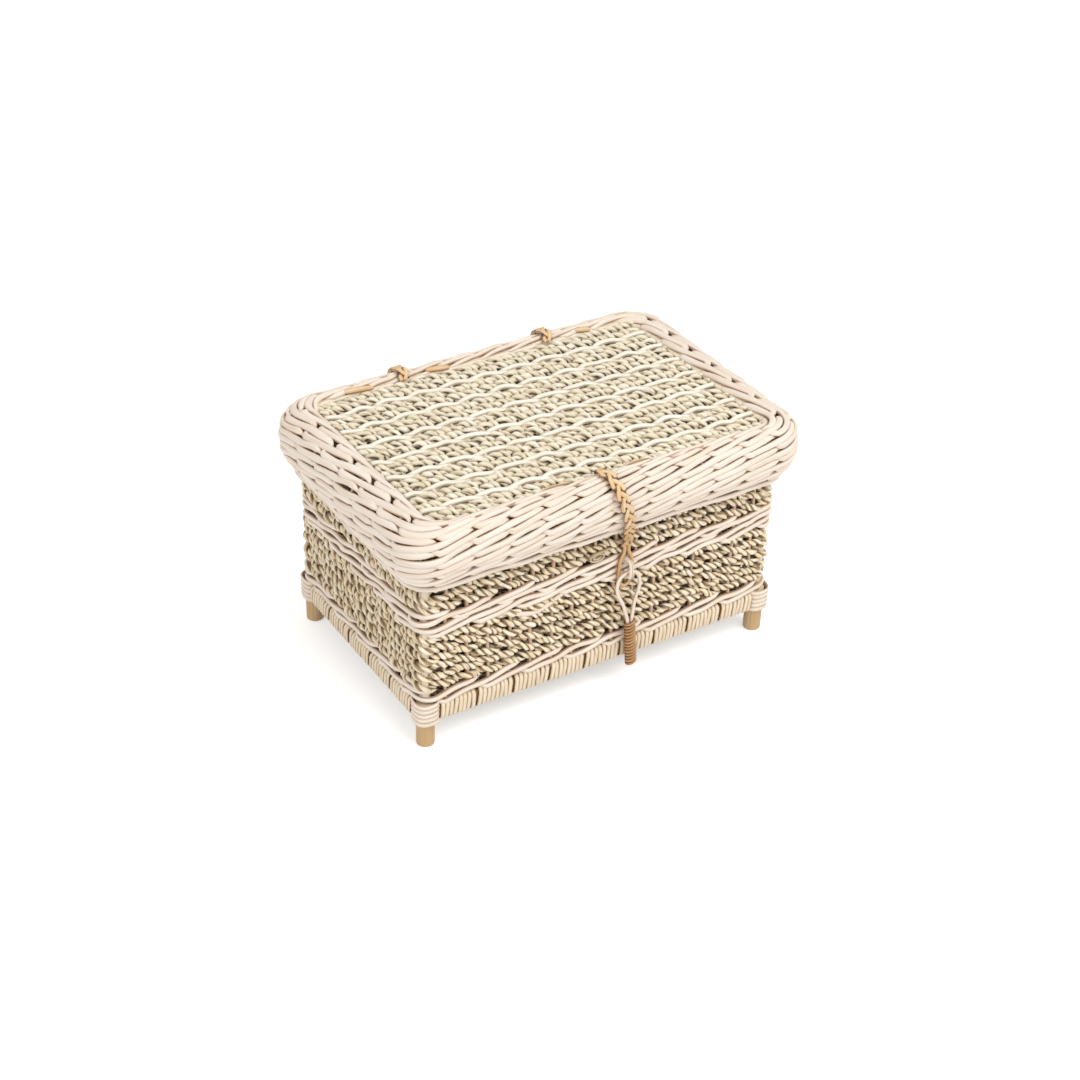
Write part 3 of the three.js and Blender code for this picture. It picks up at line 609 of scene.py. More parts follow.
@dataclass(frozen=True)
class Skin:
    """A surface that goes round the box, given by its outline at some places down it."""

    plan: RoundPlan
    places: tuple[float, ...]
    half_x: tuple[float, ...]
    half_y: tuple[float, ...]
    radii: tuple[float, ...]
    heights: tuple[float, ...]
    step: float

    def outline(self, down: np.ndarray) -> tuple[np.ndarray, ...]:
        """Give half width, half depth, corner radius and height at places down the surface."""
        rows = (self.half_x, self.half_y, self.radii, self.heights)
        return tuple(np.interp(down, self.places, row) for row in rows)

    def point(self, along: np.ndarray, down: np.ndarray, lift: np.ndarray) -> tuple[np.ndarray, np.ndarray]:
        """Find points over the surface.

        Args:
            along: places round it.
            down: places down it.
            lift: height over it, outward.

        Returns:
            The points and the outward directions.
        """
        along = np.asarray(along, float)
        down = np.broadcast_to(np.asarray(down, float), along.shape)
        lift = np.broadcast_to(np.asarray(lift, float), along.shape)
        half_x, half_y, radius, height = self.outline(down)
        plan_point, outward = self.plan.place(along, half_x, half_y, radius)
        inside = np.clip(down, self.places[0] + self.step, self.places[-1] - self.step)
        above, below = self.outline(inside - self.step), self.outline(inside + self.step)
        swell_x, swell_y = below[0] - above[0], below[1] - above[1]
        swell = outward[:, 0] ** 2 * swell_x + outward[:, 1] ** 2 * swell_y
        drop = above[3] - below[3]
        size = np.hypot(swell, drop)
        normal = np.column_stack([outward * (drop / size)[:, None], swell / size])
        return np.column_stack([plan_point, height]) + normal * lift[:, None], normal


@dataclass(frozen=True)
class Sheet:
    """A flat level surface, with places along X and down towards the front."""

    height: float

    def point(self, along: np.ndarray, down: np.ndarray, lift: np.ndarray) -> tuple[np.ndarray, np.ndarray]:
        """Find points over the surface.

        Args:
            along: places along X.
            down: places down it, towards the front.
            lift: height over it.

        Returns:
            The points and the upward directions.
        """
        along = np.asarray(along, float)
        down = np.broadcast_to(np.asarray(down, float), along.shape)
        lift = np.broadcast_to(np.asarray(lift, float), along.shape)
        normal = np.zeros((len(along), 3))
        normal[:, 2] = 1
        return np.column_stack([along, -down, self.height + lift]), normal


class Bundle:
    """Strands that are gathered into one mesh, each with a map along it and a tone."""

    def __init__(self, name: str, seed: int) -> None:
        """Start an empty bundle.

        Args:
            name: the piece's name.
            seed: the seed of its unevenness.
        """
        self.name = name
        self.rng = np.random.default_rng(seed)
        self.points: list[np.ndarray] = []
        self.corners: list[np.ndarray] = []
        self.sizes: list[np.ndarray] = []
        self.maps: list[np.ndarray] = []
        self.tones: list[np.ndarray] = []
        self.painted_shade_depths: list[np.ndarray] = []
        self.count = 0

    def add(self, centre: np.ndarray, facing: np.ndarray | tuple, wide: np.ndarray | float,
            thick: np.ndarray | float, sides: int = ROUND_SIDES, closed: bool = False,
            buried: np.ndarray | float = 0.0, outside: np.ndarray | None = None) -> None:
        """Add a strand as a tube.

        Args:
            centre: its middle line, in millimetres.
            facing: the way that its face looks, at each point or all along it.
            wide: half its width across the face.
            thick: half its thickness.
            sides: how many faces go round it.
            closed: whether its end meets its start.
            buried: how far it lies behind others, for the shade painted on it: 0 is bare, and 1 and more is
                deep.
            outside: the way out of the weave at each point, for a ply whose face looks
                away from its cord's middle. Its back lies against the other ply.
        """
        count = len(centre)
        buried = np.broadcast_to(np.asarray(buried, float), (count,))
        wide = np.broadcast_to(np.asarray(wide, float), (count,))
        thick = np.broadcast_to(np.asarray(thick, float), (count,))
        _, face, across = directions(centre, facing, closed)
        angle = 2 * math.pi * np.arange(sides) / sides
        sideways = across[:, None, :] * (wide[:, None] * np.cos(angle))[:, :, None]
        outward = face[:, None, :] * (thick[:, None] * np.sin(angle))[:, :, None]
        self.points.append((centre[:, None, :] + sideways + outward).reshape(-1, 3))
        spans = count if closed else count - 1
        here = np.arange(spans)[:, None] * sides
        ahead = (np.arange(1, spans + 1) % count)[:, None] * sides
        turn = np.arange(sides)[None, :]
        following = (turn + 1) % sides
        quads = np.stack([here + turn, ahead + turn, ahead + following, here + following], -1)
        self.corners.append(quads.reshape(-1) + self.count)
        self.sizes.append(np.full(spans * sides, 4))
        steps = np.linalg.norm(np.roll(centre, -1, 0) - centre, axis=1)
        walked = np.concatenate([[0], np.cumsum(steps)])
        girth = math.pi * (wide.mean() + thick.mean())
        start, end = np.broadcast_arrays(walked[:spans, None], turn / sides * girth)
        later = np.broadcast_to(walked[1:spans + 1, None], start.shape)
        upper = end + girth / sides
        quad_map = np.stack([start, end, later, end, later, upper, start, upper], -1)
        self.maps.append(quad_map.reshape(-1, 2))
        if not closed:
            for cap in (np.arange(sides), np.arange(sides)[::-1] + (count - 1) * sides):
                self.corners.append(cap + self.count)
                self.sizes.append(np.array([sides]))
                flat = np.stack([np.cos(angle), np.sin(angle)], -1) * float(wide.mean())
                self.maps.append(flat)
        self.tones.append(np.full(count * sides, self.rng.uniform()))
        self.painted_shade_depths.append(painted_shade_depth(face, across, angle, buried, outside))
        self.count += count * sides

    def add_round(self, centre: np.ndarray, facing: np.ndarray | tuple, size: np.ndarray | float,
                  sides: int = ROUND_SIDES, closed: bool = False,
                  buried: np.ndarray | float = 0.0) -> None:
        """Add a round cane of a whole thickness, called size. See add for the other arguments."""
        self.add(centre, facing, size / 2, size / 2, sides, closed, buried)

    def make(self) -> bpy.types.Object:
        """Turn the strands into one Blender object.

        Returns:
            The object, not yet dressed.
        """
        mesh = bpy.data.meshes.new(self.name)
        corners = np.concatenate(self.corners)
        sizes = np.concatenate(self.sizes)
        mesh.vertices.add(self.count)
        mesh.vertices.foreach_set("co", (np.concatenate(self.points) * MM).ravel())
        mesh.loops.add(len(corners))
        mesh.loops.foreach_set("vertex_index", corners.astype(np.int32))
        mesh.polygons.add(len(sizes))
        mesh.polygons.foreach_set("loop_start", (np.cumsum(sizes) - sizes).astype(np.int32))
        mesh.update(calc_edges=True)
        strand_map = mesh.uv_layers.new(name=STRAND_MAP)
        strand_map.uv.foreach_set("vector", (np.concatenate(self.maps) * MM).ravel())
        for title, values in ((TONE, self.tones), (PAINTED_CLEFT_SHADE, self.painted_shade_depths)):
            attribute = mesh.attributes.new(title, "FLOAT", "POINT")
            attribute.data.foreach_set("value", np.concatenate(values))
        mesh.shade_smooth()
        piece = bpy.data.objects.new(self.name, mesh)
        bpy.context.scene.collection.objects.link(piece)
        return piece


@dataclass(frozen=True)
class Weaving:
    """How rods that work together pass in front of the stakes and behind them.

    Each rod comes out from behind one stake, climbs while it passes the next ones, goes
    behind again and falls back. Where it comes and goes, its neighbours pinch it to a
    point. Down is counted in the surface's own measure, and so is half a rod's width.
    Shade says how far a rod counts as buried in the middle of its way behind, for the shade painted on it.
    """

    rods: int
    pitch: float
    climb: float
    front: float
    back: float
    half: float
    turn: float = 9.0
    slit: float = 9.5
    pinch: float = 0.72
    shade: float = 1.7

    def path(self, along: np.ndarray, rod: int, shift: float
             ) -> tuple[np.ndarray, np.ndarray, np.ndarray, np.ndarray]:
        """Find how far a rod stands out and how far it has climbed.

        Args:
            along: places along the row.
            rod: which rod of the row.
            shift: how far the row is shifted, in stakes.

        Returns:
            The lift over the surface, the place down it from the row's middle, the share
            of the rod's width that isn't pinched, and how far the rod is buried.
        """
        period = self.rods * self.pitch
        place = np.mod(along / period + rod / self.rods + shift / self.rods, 1.0)
        seen = (self.rods - 1) / self.rods - self.slit / period
        turn = self.turn / period
        leaving = np.clip((place - seen) / turn, 0, 1)
        coming = np.clip((place - (1 - turn)) / turn, 0, 1)
        share = np.maximum(1 - leaving, coming)
        share = share * share * (3 - 2 * share)
        middle = seen + turn / 2
        behind = np.clip((place - middle) / (1 - middle), 0, 1)
        below = np.where(place < middle, 0.5 - place / middle, behind - 0.5)
        pinched = self.pinch * (1 - share)
        down = self.climb * below + self.half * pinched * (1 - 2 * behind)
        lift = self.back + (self.front - self.back) * share
        return lift, down, 1 - pinched, self.shade * (1 - share) ** 3


@dataclass(frozen=True)
class Twining:
    """Two cords that turn about each other as they go, one stake between turns.

    Shade says how far a cord counts as buried where the two lie side by side, for the shade painted on it.
    """

    pitch: float
    swing: float
    climb: float
    shade: float = 0.45

    def path(self, along: np.ndarray, rod: int, shift: np.ndarray | float
             ) -> tuple[np.ndarray, np.ndarray]:
        """Find how far a cord stands out and how far down it is. See Weaving.path."""
        angle = math.pi * (along / self.pitch + rod + shift)
        return self.swing * np.cos(angle), self.climb * np.sin(angle)

    def buried(self, lift: np.ndarray) -> np.ndarray:
        """Tell how far a cord lies behind the other one, from how far it stands out."""
        return np.clip(self.shade - lift / self.swing, 0, 1)


@dataclass(frozen=True)
class Cord:
    """Seagrass cord of two plies, laid up so that its strokes fall to the right."""

    ply: float = 1.54
    spread: float = 1.24
    turn: float = 11.6
    step: float = 1.45
    sides: int = 6
    flat_share: float = 0.92
    # How much shade is painted on a ply where it turns to the back of the cord.
    under_shade: float = 0.45
    slack: Sway = Sway(0.45, 14, 60)
    rough: Sway = Sway(0.15, 6, 40)

    def lay(self, bundle: Bundle, centre: np.ndarray, facing: np.ndarray, length: float, closed: bool,
            buried: np.ndarray) -> None:
        """Wind the plies round a middle line.

        Args:
            bundle: where the plies go.
            centre: the cord's middle line.
            facing: the outward directions along it.
            length: its length.
            closed: whether it closes on itself.
            buried: how far the cord lies behind others, at each point.
        """
        _, face, across = directions(centre, facing, closed)
        along = np.linspace(0, length, len(centre), endpoint=not closed)
        turns = max(1, round(length / self.turn))
        slack = self.slack.draw(along, length, bundle.rng)
        for ply in (0, 1):
            angle = 2 * math.pi * turns * along / length + math.pi * ply + slack
            out = face * np.cos(angle)[:, None] + across * np.sin(angle)[:, None]
            middle = centre + out * self.spread
            size = self.ply * (1 + self.rough.draw(along, length, bundle.rng))
            under = buried + self.under_shade * np.clip(-np.cos(angle), 0, 1)
            bundle.add(middle, out, size, size * self.flat_share, self.sides, closed, under, face)


def even_places(length: float, step: float, closed: bool) -> np.ndarray:
    """Give evenly spread places along a strand.

    Args:
        length: the strand's length.
        step: the distance between places, about.
        closed: whether the end is left out, because it meets the start.

    Returns:
        The places.
    """
    return np.linspace(0, length, max(4, round(length / step)), endpoint=not closed)


@dataclass
class Wall:
    """The four woven walls: stakes, seagrass between rows of peeled cane, and the rim."""

    half_x: float = 145.4
    half_y: float = 91.6
    corner: float = 12.0
    thickness: float = 8.0
    foot: float = 20.0
    base_wale_top: float = 46.0
    middle_wale: tuple[float, float] = (92.0, 110.0)
    lean_start: float = 140.0
    rim_bottom: float = 164.0
    rim_top: float = 170.3
    rim_width: float = 10.0
    lean: float = 3.0
    skin_step: float = 2.0
    # The upright stakes.
    stakes: int = 54
    stake_size: float = 3.0
    stake_spread: tuple[float, float] = (0.85, 1.1)
    stake_lift: float = 0.5
    stake_in_rim: float = 1.0
    stake_over_foot: float = 2.0
    stake_points: int = 30
    stake_sway: Sway = Sway(0.35, 40, 150)
    # How much shade is painted on the stakes, which lie behind the weave.
    stake_shade: float = 0.75
    # The rows of seagrass.
    row_height: float = 7.7
    row_shift: float = 0.5
    row_shift_spread: float = 0.06
    row_shift_sway: Sway = Sway(0.08, 60, 250)
    row_sway: Sway = Sway(0.6, 50, 220)
    cord_swing: float = 2.3
    cord_climb: float = 1.55
    cord_lift_sway: Sway = Sway(0.35, 14, 50)
    cord_fall_sway: Sway = Sway(0.5, 14, 45)
    overlap: float = 0.8
    # The wales of peeled cane, of which the lower one starts on the lashing.
    lashing_height: float = 16.0
    base_rounds: int = 1
    middle_rounds: int = 2
    cane: float = 4.1
    cane_step: float = 2.0
    cane_rods: int = 3
    stakes_passed: int = 2
    turn: float = 12.0
    slit: float = 13.5
    cane_proud: float = 0.4
    cane_lift_sway: Sway = Sway(0.2, 25, 90)
    cane_fall_sway: Sway = Sway(0.7, 30, 120)
    cane_size_sway: Sway = Sway(0.03, 30, 120)
    # Shade painted all along the wale's canes, and more where they go behind the stakes.
    cane_shade: float = 0.25
    # The cane of the middle wale that dips, from and to places beside the front's middle.
    tail: tuple[float, float] = (-92.0, -22.0)
    tail_dip: float = 9.0
    tail_size_share: float = 0.92
    tail_depth: float = 1.5
    tail_rise: float = 2.2
    tail_points: int = 50
    # The curled leaf: place beside the front's middle and height, then width and height.
    curl_place: tuple[float, float] = (-8.5, 115.0)
    curl_size: tuple[float, float] = (14.0, 7.4)
    curl_arm: tuple[float, float] = (14.0, 1.0)
    curl_arm_points: int = 12
    curl_points: int = 70
    curl_turns: float = 1.75
    curl_core: float = 0.3
    curl_root: float = -2.5
    curl_lift: float = 1.2
    curl_leaf: float = 2.0
    # Shade painted on the curl, which lies under the lid's edge.
    curl_shade: float = 0.75
    # The rim's twisted canes.
    rim_rods: int = 4
    rim_cane: tuple[float, float] = (4.1, 4.0)
    rim_lay: float = 52.0
    rim_climb: float = 1.15
    rim_swing: float = 2.9
    cord: Cord = field(default_factory=Cord)

    def skin(self) -> Skin:
        """Give the wall's middle surface.

        Returns:
            A surface that is measured down from the top of the rim.
        """
        inset = self.thickness / 2
        plan = RoundPlan(self.half_x - inset, self.half_y - inset, self.corner - inset)
        places = (0.0, self.rim_top - self.lean_start, self.rim_top)
        return Skin(
            plan, places,
            (plan.half_x - self.lean, plan.half_x, plan.half_x),
            (plan.half_y - self.lean, plan.half_y, plan.half_y),
            (plan.radius,) * 3,
            (self.rim_top, self.lean_start, 0.0),
            self.skin_step,
        )

    def add_stakes(self) -> None:
        """Stand the upright canes round the wall."""
        skin = self.skin()
        bundle = Bundle("wall_stakes", Seed.WALL_STAKES)
        girth = skin.plan.girth()
        top = self.rim_top - self.rim_bottom - self.stake_in_rim
        bottom = self.rim_top - self.foot - self.stake_over_foot
        down = np.linspace(top, bottom, self.stake_points)
        for i in range(self.stakes):
            sway = self.stake_sway.draw(down, self.stake_sway.longest, bundle.rng)
            place = (i + 0.5) * girth / self.stakes + sway
            centre, out = skin.point(place, down, self.stake_lift)
            size = self.stake_size * bundle.rng.uniform(*self.stake_spread)
            bundle.add_round(centre, out, size, buried=self.stake_shade)
        dress(bundle.make(), PEELED_CANE, "basket", "white_cane")

    def add_seagrass(self, name: str, bottom: float, top: float, seed: int) -> None:
        """Twine the rows of one band of seagrass.

        Args:
            name: the start of the pieces' names and of the CAD node's.
            bottom: the band's lower edge.
            top: its upper edge.
            seed: the seed of their unevenness.
        """
        skin = self.skin()
        girth = skin.plan.girth()
        bottom, top = bottom - self.overlap, top + self.overlap
        rows = round((top - bottom) / self.row_height)
        height = (top - bottom) / rows
        twining = Twining(girth / self.stakes, self.cord_swing, self.cord_climb)
        along = even_places(girth, self.cord.step, True)
        for row in range(rows):
            bundle = Bundle(f"{name}_row_{row + 1}", seed + row)
            middle = self.rim_top - bottom - (row + 0.5) * height
            shift = self.row_shift + bundle.rng.normal(0, self.row_shift_spread)
            shift = shift + self.row_shift_sway.draw(along, girth, bundle.rng)
            drift = self.row_sway.draw(along, girth, bundle.rng)
            for rod in (0, 1):
                lift, down = twining.path(along, rod, shift)
                lift = lift + self.cord_lift_sway.draw(along, girth, bundle.rng)
                down = down + drift + self.cord_fall_sway.draw(along, girth, bundle.rng)
                centre, out = skin.point(along, middle + down, lift)
                self.cord.lay(bundle, centre, out, girth, True, twining.buried(lift))
            dress(bundle.make(), SEAGRASS, "basket", "seagrass", f"{name}_band")

    def add_wale(self, name: str, bottom: float, top: float, rounds: int, seed: int) -> None:
        """Weave rounds of three peeled canes.

        Args:
            name: the piece's name and its CAD node's.
            bottom: the lower edge.
            top: the upper edge.
            rounds: how many rounds lie above each other.
            seed: the seed of their unevenness.
        """
        skin = self.skin()
        girth = skin.plan.girth()
        height = (top - bottom) / rounds
        reach = self.thickness / 2
        radius = self.cane / 2
        pitch = self.stakes_passed * girth / self.stakes
        front, back = reach - radius + self.cane_proud, radius - reach
        weaving = Weaving(self.cane_rods, pitch, height, front, back, radius, self.turn, self.slit)
        along = even_places(girth, self.cane_step, True)
        bundle = Bundle(f"{name}_canes", seed)
        for turn in range(rounds):
            middle = self.rim_top - bottom - (turn + 0.5) * height
            shift = bundle.rng.uniform()
            for rod in range(self.cane_rods):
                lift, down, left, buried = weaving.path(along, rod, shift)
                lift = lift + self.cane_lift_sway.draw(along, girth, bundle.rng)
                down = down + self.cane_fall_sway.draw(along, girth, bundle.rng)
                size = radius * (1 + self.cane_size_sway.draw(along, girth, bundle.rng))
                centre, out = skin.point(along, middle + down, lift)
                thick = size * (1 + left) / 2
                bundle.add(centre, out, size * left, thick, closed=True, buried=self.cane_shade + buried)
        dress(bundle.make(), PEELED_CANE, "basket", "white_cane", name)

    def add_tail(self) -> None:
        """Let one cane of the middle wale dip into the seagrass below, left of the clasp."""
        skin = self.skin()
        share = np.linspace(0, 1, self.tail_points)
        start, end = self.tail
        along = skin.plan.front_middle() + start + (end - start) * share
        dip = np.sin(math.pi * share) ** 2
        down = self.rim_top - self.middle_wale[0] - self.cane / 2 + self.tail_dip * dip
        lift = self.thickness / 2 - self.cane / 2 - self.tail_depth + self.tail_rise * dip
        centre, out = skin.point(along, down, lift)
        bundle = Bundle("middle_wale_loose_cane", Seed.LOOSE_CANE)
        bundle.add_round(centre, out, self.tail_size_share * self.cane)
        dress(bundle.make(), PEELED_CANE, "basket", "white_cane")

    def add_curl(self) -> None:
        """Curl the end of a seagrass leaf up beside the clasp, under the lid's edge."""
        skin = self.skin()
        width, height = self.curl_size
        top = math.pi / 2
        angle = np.linspace(top, top + 2 * math.pi * self.curl_turns, self.curl_points)
        share = np.linspace(1, self.curl_core, self.curl_points)
        courses = (
            (self.curl_arm, width / 2 * share * np.cos(angle)),
            ((height / 4, height / 2), height / 2 * share * np.sin(angle)),
            ((self.curl_root, self.curl_lift), self.curl_lift * share),
        )
        along, up, lift = (
            np.concatenate([np.linspace(*arm, self.curl_arm_points), spiral]) for arm, spiral in courses
        )
        middle = skin.plan.front_middle() + self.curl_place[0]
        down = self.rim_top - self.curl_place[1] - up
        centre, out = skin.point(middle + along, down, self.thickness / 2 + lift)
        bundle = Bundle("seagrass_curl", Seed.CURL)
        bundle.add_round(centre, out, self.curl_leaf, buried=self.curl_shade)
        dress(bundle.make(), SEAGRASS, "basket", "seagrass")

    def add_rim(self) -> None:
        """Roll the border of twisted canes that the lid rests on."""
        skin = self.skin()
        girth = skin.plan.girth()
        along = even_places(girth, self.cane_step, True)
        bundle = Bundle("body_rim_canes", Seed.RIM)
        inset = self.thickness / 2 - self.rim_width / 2
        middle = (self.rim_top - self.rim_bottom) / 2
        turns = round(girth / self.rim_lay)
        wide, thick = self.rim_cane
        for rod in range(self.rim_rods):
            angle = 2 * math.pi * (turns * along / girth + rod / self.rim_rods)
            down = middle + self.rim_climb * np.sin(angle)
            centre, out = skin.point(along, down, inset + self.rim_swing * np.cos(angle))
            bundle.add(centre, out, wide / 2, thick / 2, closed=True)
        dress(bundle.make(), PEELED_CANE, "basket", "white_cane", "body_rim")

    def build(self) -> None:
        """Build the walls from the ground up."""
        low, high = self.middle_wale
        self.add_stakes()
        base_bottom = self.foot + self.lashing_height
        self.add_wale("base_wale", base_bottom, self.base_wale_top, self.base_rounds, Seed.BASE_WALE)
        self.add_seagrass("lower_seagrass", self.base_wale_top, low, Seed.LOWER_SEAGRASS)
        self.add_wale("middle_wale", low, high, self.middle_rounds, Seed.MIDDLE_WALE)
        self.add_tail()
        self.add_curl()
        self.add_seagrass("upper_seagrass", high, self.rim_bottom, Seed.UPPER_SEAGRASS)
        self.add_rim()


@dataclass
class TwinedPanel:
    """A flat panel of twined rows on stakes, with a row of peeled cane now and then."""

    name: str
    node: str
    body: str
    half_x: float
    half_y: float
    height: float
    seed: int
    row_pitch: float = 7.65
    row_shift_spread: float = 0.06
    row_sway: Sway = Sway(0.5, 50, 200)
    stake_pitch: float = 12.9
    stake_size: float = 2.6
    stake_inset: float = 1.0
    stake_points: int = 40
    stake_sway: Sway = Sway(0.4, 40, 150)
    cord_swing: float = 2.1
    cord_climb: float = 1.15
    lift_sway: Sway = Sway(0.25, 14, 50)
    fall_sway: Sway = Sway(0.35, 14, 45)
    cane: float = 4.1
    cane_swing: float = 2.2
    cane_climb: float = 1.8
    cane_step: float = 1.8
    cane_row_every: int = 3
    grass: Finish = SEAGRASS
    cord: Cord = field(default_factory=Cord)

    def row(self, bundle: Bundle, down: float, twining: Twining, cord: Cord | None) -> None:
        """Twine one row.

        Args:
            bundle: where its strands go.
            down: how far in front of the middle it lies.
            twining: how its strands turn.
            cord: the seagrass cord, or nothing for round cane.
        """
        sheet = Sheet(self.height)
        length = 2 * self.half_x
        along = even_places(length, cord.step if cord else self.cane_step, False)
        shift = bundle.rng.normal(0, self.row_shift_spread)
        drift = self.row_sway.draw(along, length, bundle.rng)
        for rod in (0, 1):
            lift, fall = twining.path(along - self.half_x, rod, shift)
            lift = lift + self.lift_sway.draw(along, length, bundle.rng)
            fall = fall + drift + self.fall_sway.draw(along, length, bundle.rng)
            centre, out = sheet.point(along - self.half_x, down + fall, lift)
            buried = twining.buried(lift)
            if cord:
                cord.lay(bundle, centre, out, length, False, buried)
            else:
                bundle.add_round(centre, out, self.cane, buried=buried)

    def build(self) -> None:
        """Build the stakes, the seagrass rows and the cane rows."""
        stakes = Bundle(f"{self.name}_stakes", self.seed)
        count = round(2 * self.half_x / self.stake_pitch)
        end = self.half_y - self.stake_inset
        reach = np.linspace(-end, end, self.stake_points)
        for i in range(count):
            x = (i - (count - 1) / 2) * self.stake_pitch
            sway = self.stake_sway.draw(reach, 2 * self.half_y, stakes.rng)
            centre = np.column_stack([x + sway, reach, np.full(len(reach), self.height)])
            stakes.add_round(centre, UP, self.stake_size)
        dress(stakes.make(), PEELED_CANE, self.body, "white_cane", self.node)
        rows = round(2 * self.half_y / self.row_pitch)
        pitch = 2 * self.half_y / rows
        grass = Bundle(f"{self.name}_seagrass", self.seed + 1)
        canes = Bundle(f"{self.name}_canes", self.seed + 2)
        cord_twining = Twining(self.stake_pitch, self.cord_swing, self.cord_climb)
        cane_twining = Twining(2 * self.stake_pitch, self.cane_swing, self.cane_climb)
        for row in range(rows):
            down = self.half_y - (row + 0.5) * pitch
            if self.cane_row_every and row % self.cane_row_every == self.cane_row_every - 1:
                self.row(canes, down, cane_twining, None)
            else:
                self.row(grass, down, cord_twining, self.cord)
        dress(grass.make(), self.grass, self.body, "seagrass", self.node)
        if canes.count:
            dress(canes.make(), TOP_LIT_CANE, self.body, "white_cane", self.node)


@dataclass
class LidShell:
    """The bulging border and skirt of the lid: rounds of three peeled canes.

    Places down it and falls are shares of the way from the panel to the edge.
    """

    shoulder_x: float = 160.5
    shoulder_y: float = 104.9
    border_x: float = 27.9
    border_y: float = 16.9
    crest: float = 181.8
    border_depth: float = 15.8
    edge_x: float = 150.3
    edge_y: float = 94.7
    edge_height: float = 133.4
    edge_cane: float = 4.0
    edge_step: float = 2.0
    edge_sway: Sway = Sway(0.4, 40, 160)
    skirt_top: float = 166.0
    skirt_depth: float = 30.3
    skirt_reach: float = 10.2
    inner_y: float = 88.0
    inner_corner: float = 13.5
    corner_growth: float = 0.75
    # The outline from the panel down: how far inward, or outward on the skirt, and how far down.
    border_shares: tuple = (
        (1.0, 0.26), (0.88, 0.06), (0.75, 0.0), (0.45, 0.05), (0.2, 0.29), (0.05, 0.65), (0.0, 1.0),
    )
    skirt_shares: tuple = ((1.0, 0.0), (1.05, 0.26), (0.95, 0.53), (0.63, 0.81), (0.23, 1.0))
    overrun_shares: tuple[float, float] = (3.0, 2.0)
    skin_step: float = 0.03
    # The stakes under the rounds.
    stakes: int = 36
    stake_size: tuple[float, float] = (2.4, 2.0)
    stake_depth: float = 4.6
    stake_places: tuple[float, float] = (0.02, 0.99)
    stake_points: int = 40
    # The rounds of cane.
    rounds: int = 6
    rods: int = 3
    cane: float = 3.9
    cane_step: float = 2.4
    width_share: float = 1.04
    width_sway: Sway = Sway(0.05, 30, 120)
    lift_sway: Sway = Sway(0.2, 25, 90)
    fall_sway: Sway = Sway(0.006, 30, 120)
    shift_spread: float = 0.08
    behind: float = 3.4
    behind_loss: float = 0.3
    last_place: float = 0.98
    # The tan ends at the inner edge, from and to places beside the front's and the back's middle.
    end_place: float = 0.03
    end_fall: float = 0.03
    end_depth: float = 2.6
    end_rise: float = 3.0
    # Shade painted where an end sinks into the weave.
    end_shade: float = 0.6
    end_points: int = 24
    back_ends: tuple = ((-115.0, -92.0), (-43.0, -25.0), (93.0, 106.0))
    front_ends: tuple = ((-62.0, -34.0), (9.0, 36.0))

    def sections(self) -> list[tuple[float, float, float]]:
        """Give half width, half depth and height of the outside, from the panel down."""
        rows = [
            (
                self.shoulder_x - inward * self.border_x,
                self.shoulder_y - inward * self.border_y,
                self.crest - drop * self.border_depth,
            )
            for inward, drop in self.border_shares
        ]
        return rows + [
            (
                self.edge_x + out * self.skirt_reach,
                self.edge_y + out * self.skirt_reach,
                self.skirt_top - drop * self.skirt_depth,
            )
            for out, drop in self.skirt_shares[1:]
        ]

    def skin(self) -> Skin:
        """Give the outside surface.

        Returns:
            A surface whose places go down from 0 at the panel to 1 at the edge.
        """
        rows = np.array(self.sections())
        before, after = self.overrun_shares
        first = rows[0] + before * (rows[0] - rows[1])
        last = rows[-1] + after * (rows[-1] - rows[-2])
        rows = np.vstack([first, rows, last])
        steps_x = np.hypot(np.diff(rows[:, 0]), np.diff(rows[:, 2]))
        steps_y = np.hypot(np.diff(rows[:, 1]), np.diff(rows[:, 2]))
        walked = np.concatenate([[0], np.cumsum(steps_x + steps_y)])
        places = (walked - walked[1]) / (walked[-2] - walked[1])
        radii = self.inner_corner + self.corner_growth * (rows[:, 1] - self.inner_y)
        middle = RoundPlan(self.edge_x, self.edge_y, float(radii.mean()))
        return Skin(
            middle, tuple(places), tuple(rows[:, 0]), tuple(rows[:, 1]),
            tuple(radii), tuple(rows[:, 2]), self.skin_step,
        )

    def add_wale(self) -> None:
        """Weave the rounds of cane, one piece for each round."""
        skin = self.skin()
        girth = skin.plan.girth()
        radius = self.cane / 2
        along = even_places(girth, self.cane_step, True)
        height = self.last_place / self.rounds
        for turn in range(self.rounds):
            bundle = Bundle(f"lid_border_round_{turn + 1}", Seed.LID_ROUNDS + turn)
            behind = self.behind * (1 - self.behind_loss * turn / (self.rounds - 1))
            half = height / (2 * (self.rods - 1))
            weaving = Weaving(self.rods, girth / self.stakes, height, -radius, -radius - behind, half)
            shift = bundle.rng.normal(0, self.shift_spread)
            for rod in range(self.rods):
                lift, down, left, buried = weaving.path(along, rod, shift)
                lift = lift + self.lift_sway.draw(along, girth, bundle.rng)
                down = (turn + 0.5) * height + down + self.fall_sway.draw(along, girth, bundle.rng)
                inside = np.clip(down, height / 2, self.last_place - height / 2)
                above, _ = skin.point(along, inside - height / 2, lift)
                below, _ = skin.point(along, inside + height / 2, lift)
                room = np.linalg.norm(below - above, axis=1) / (2 * (self.rods - 1))
                wide = room * (self.width_share + self.width_sway.draw(along, girth, bundle.rng)) * left
                centre, out = skin.point(along, down, lift)
                bundle.add(centre, out, wide, radius * (1 + left) / 2, closed=True, buried=buried)
            node = "lid_border" if turn < self.rounds / 2 else "lid_skirt"
            dress(bundle.make(), PEELED_CANE, "lid", "white_cane", node)

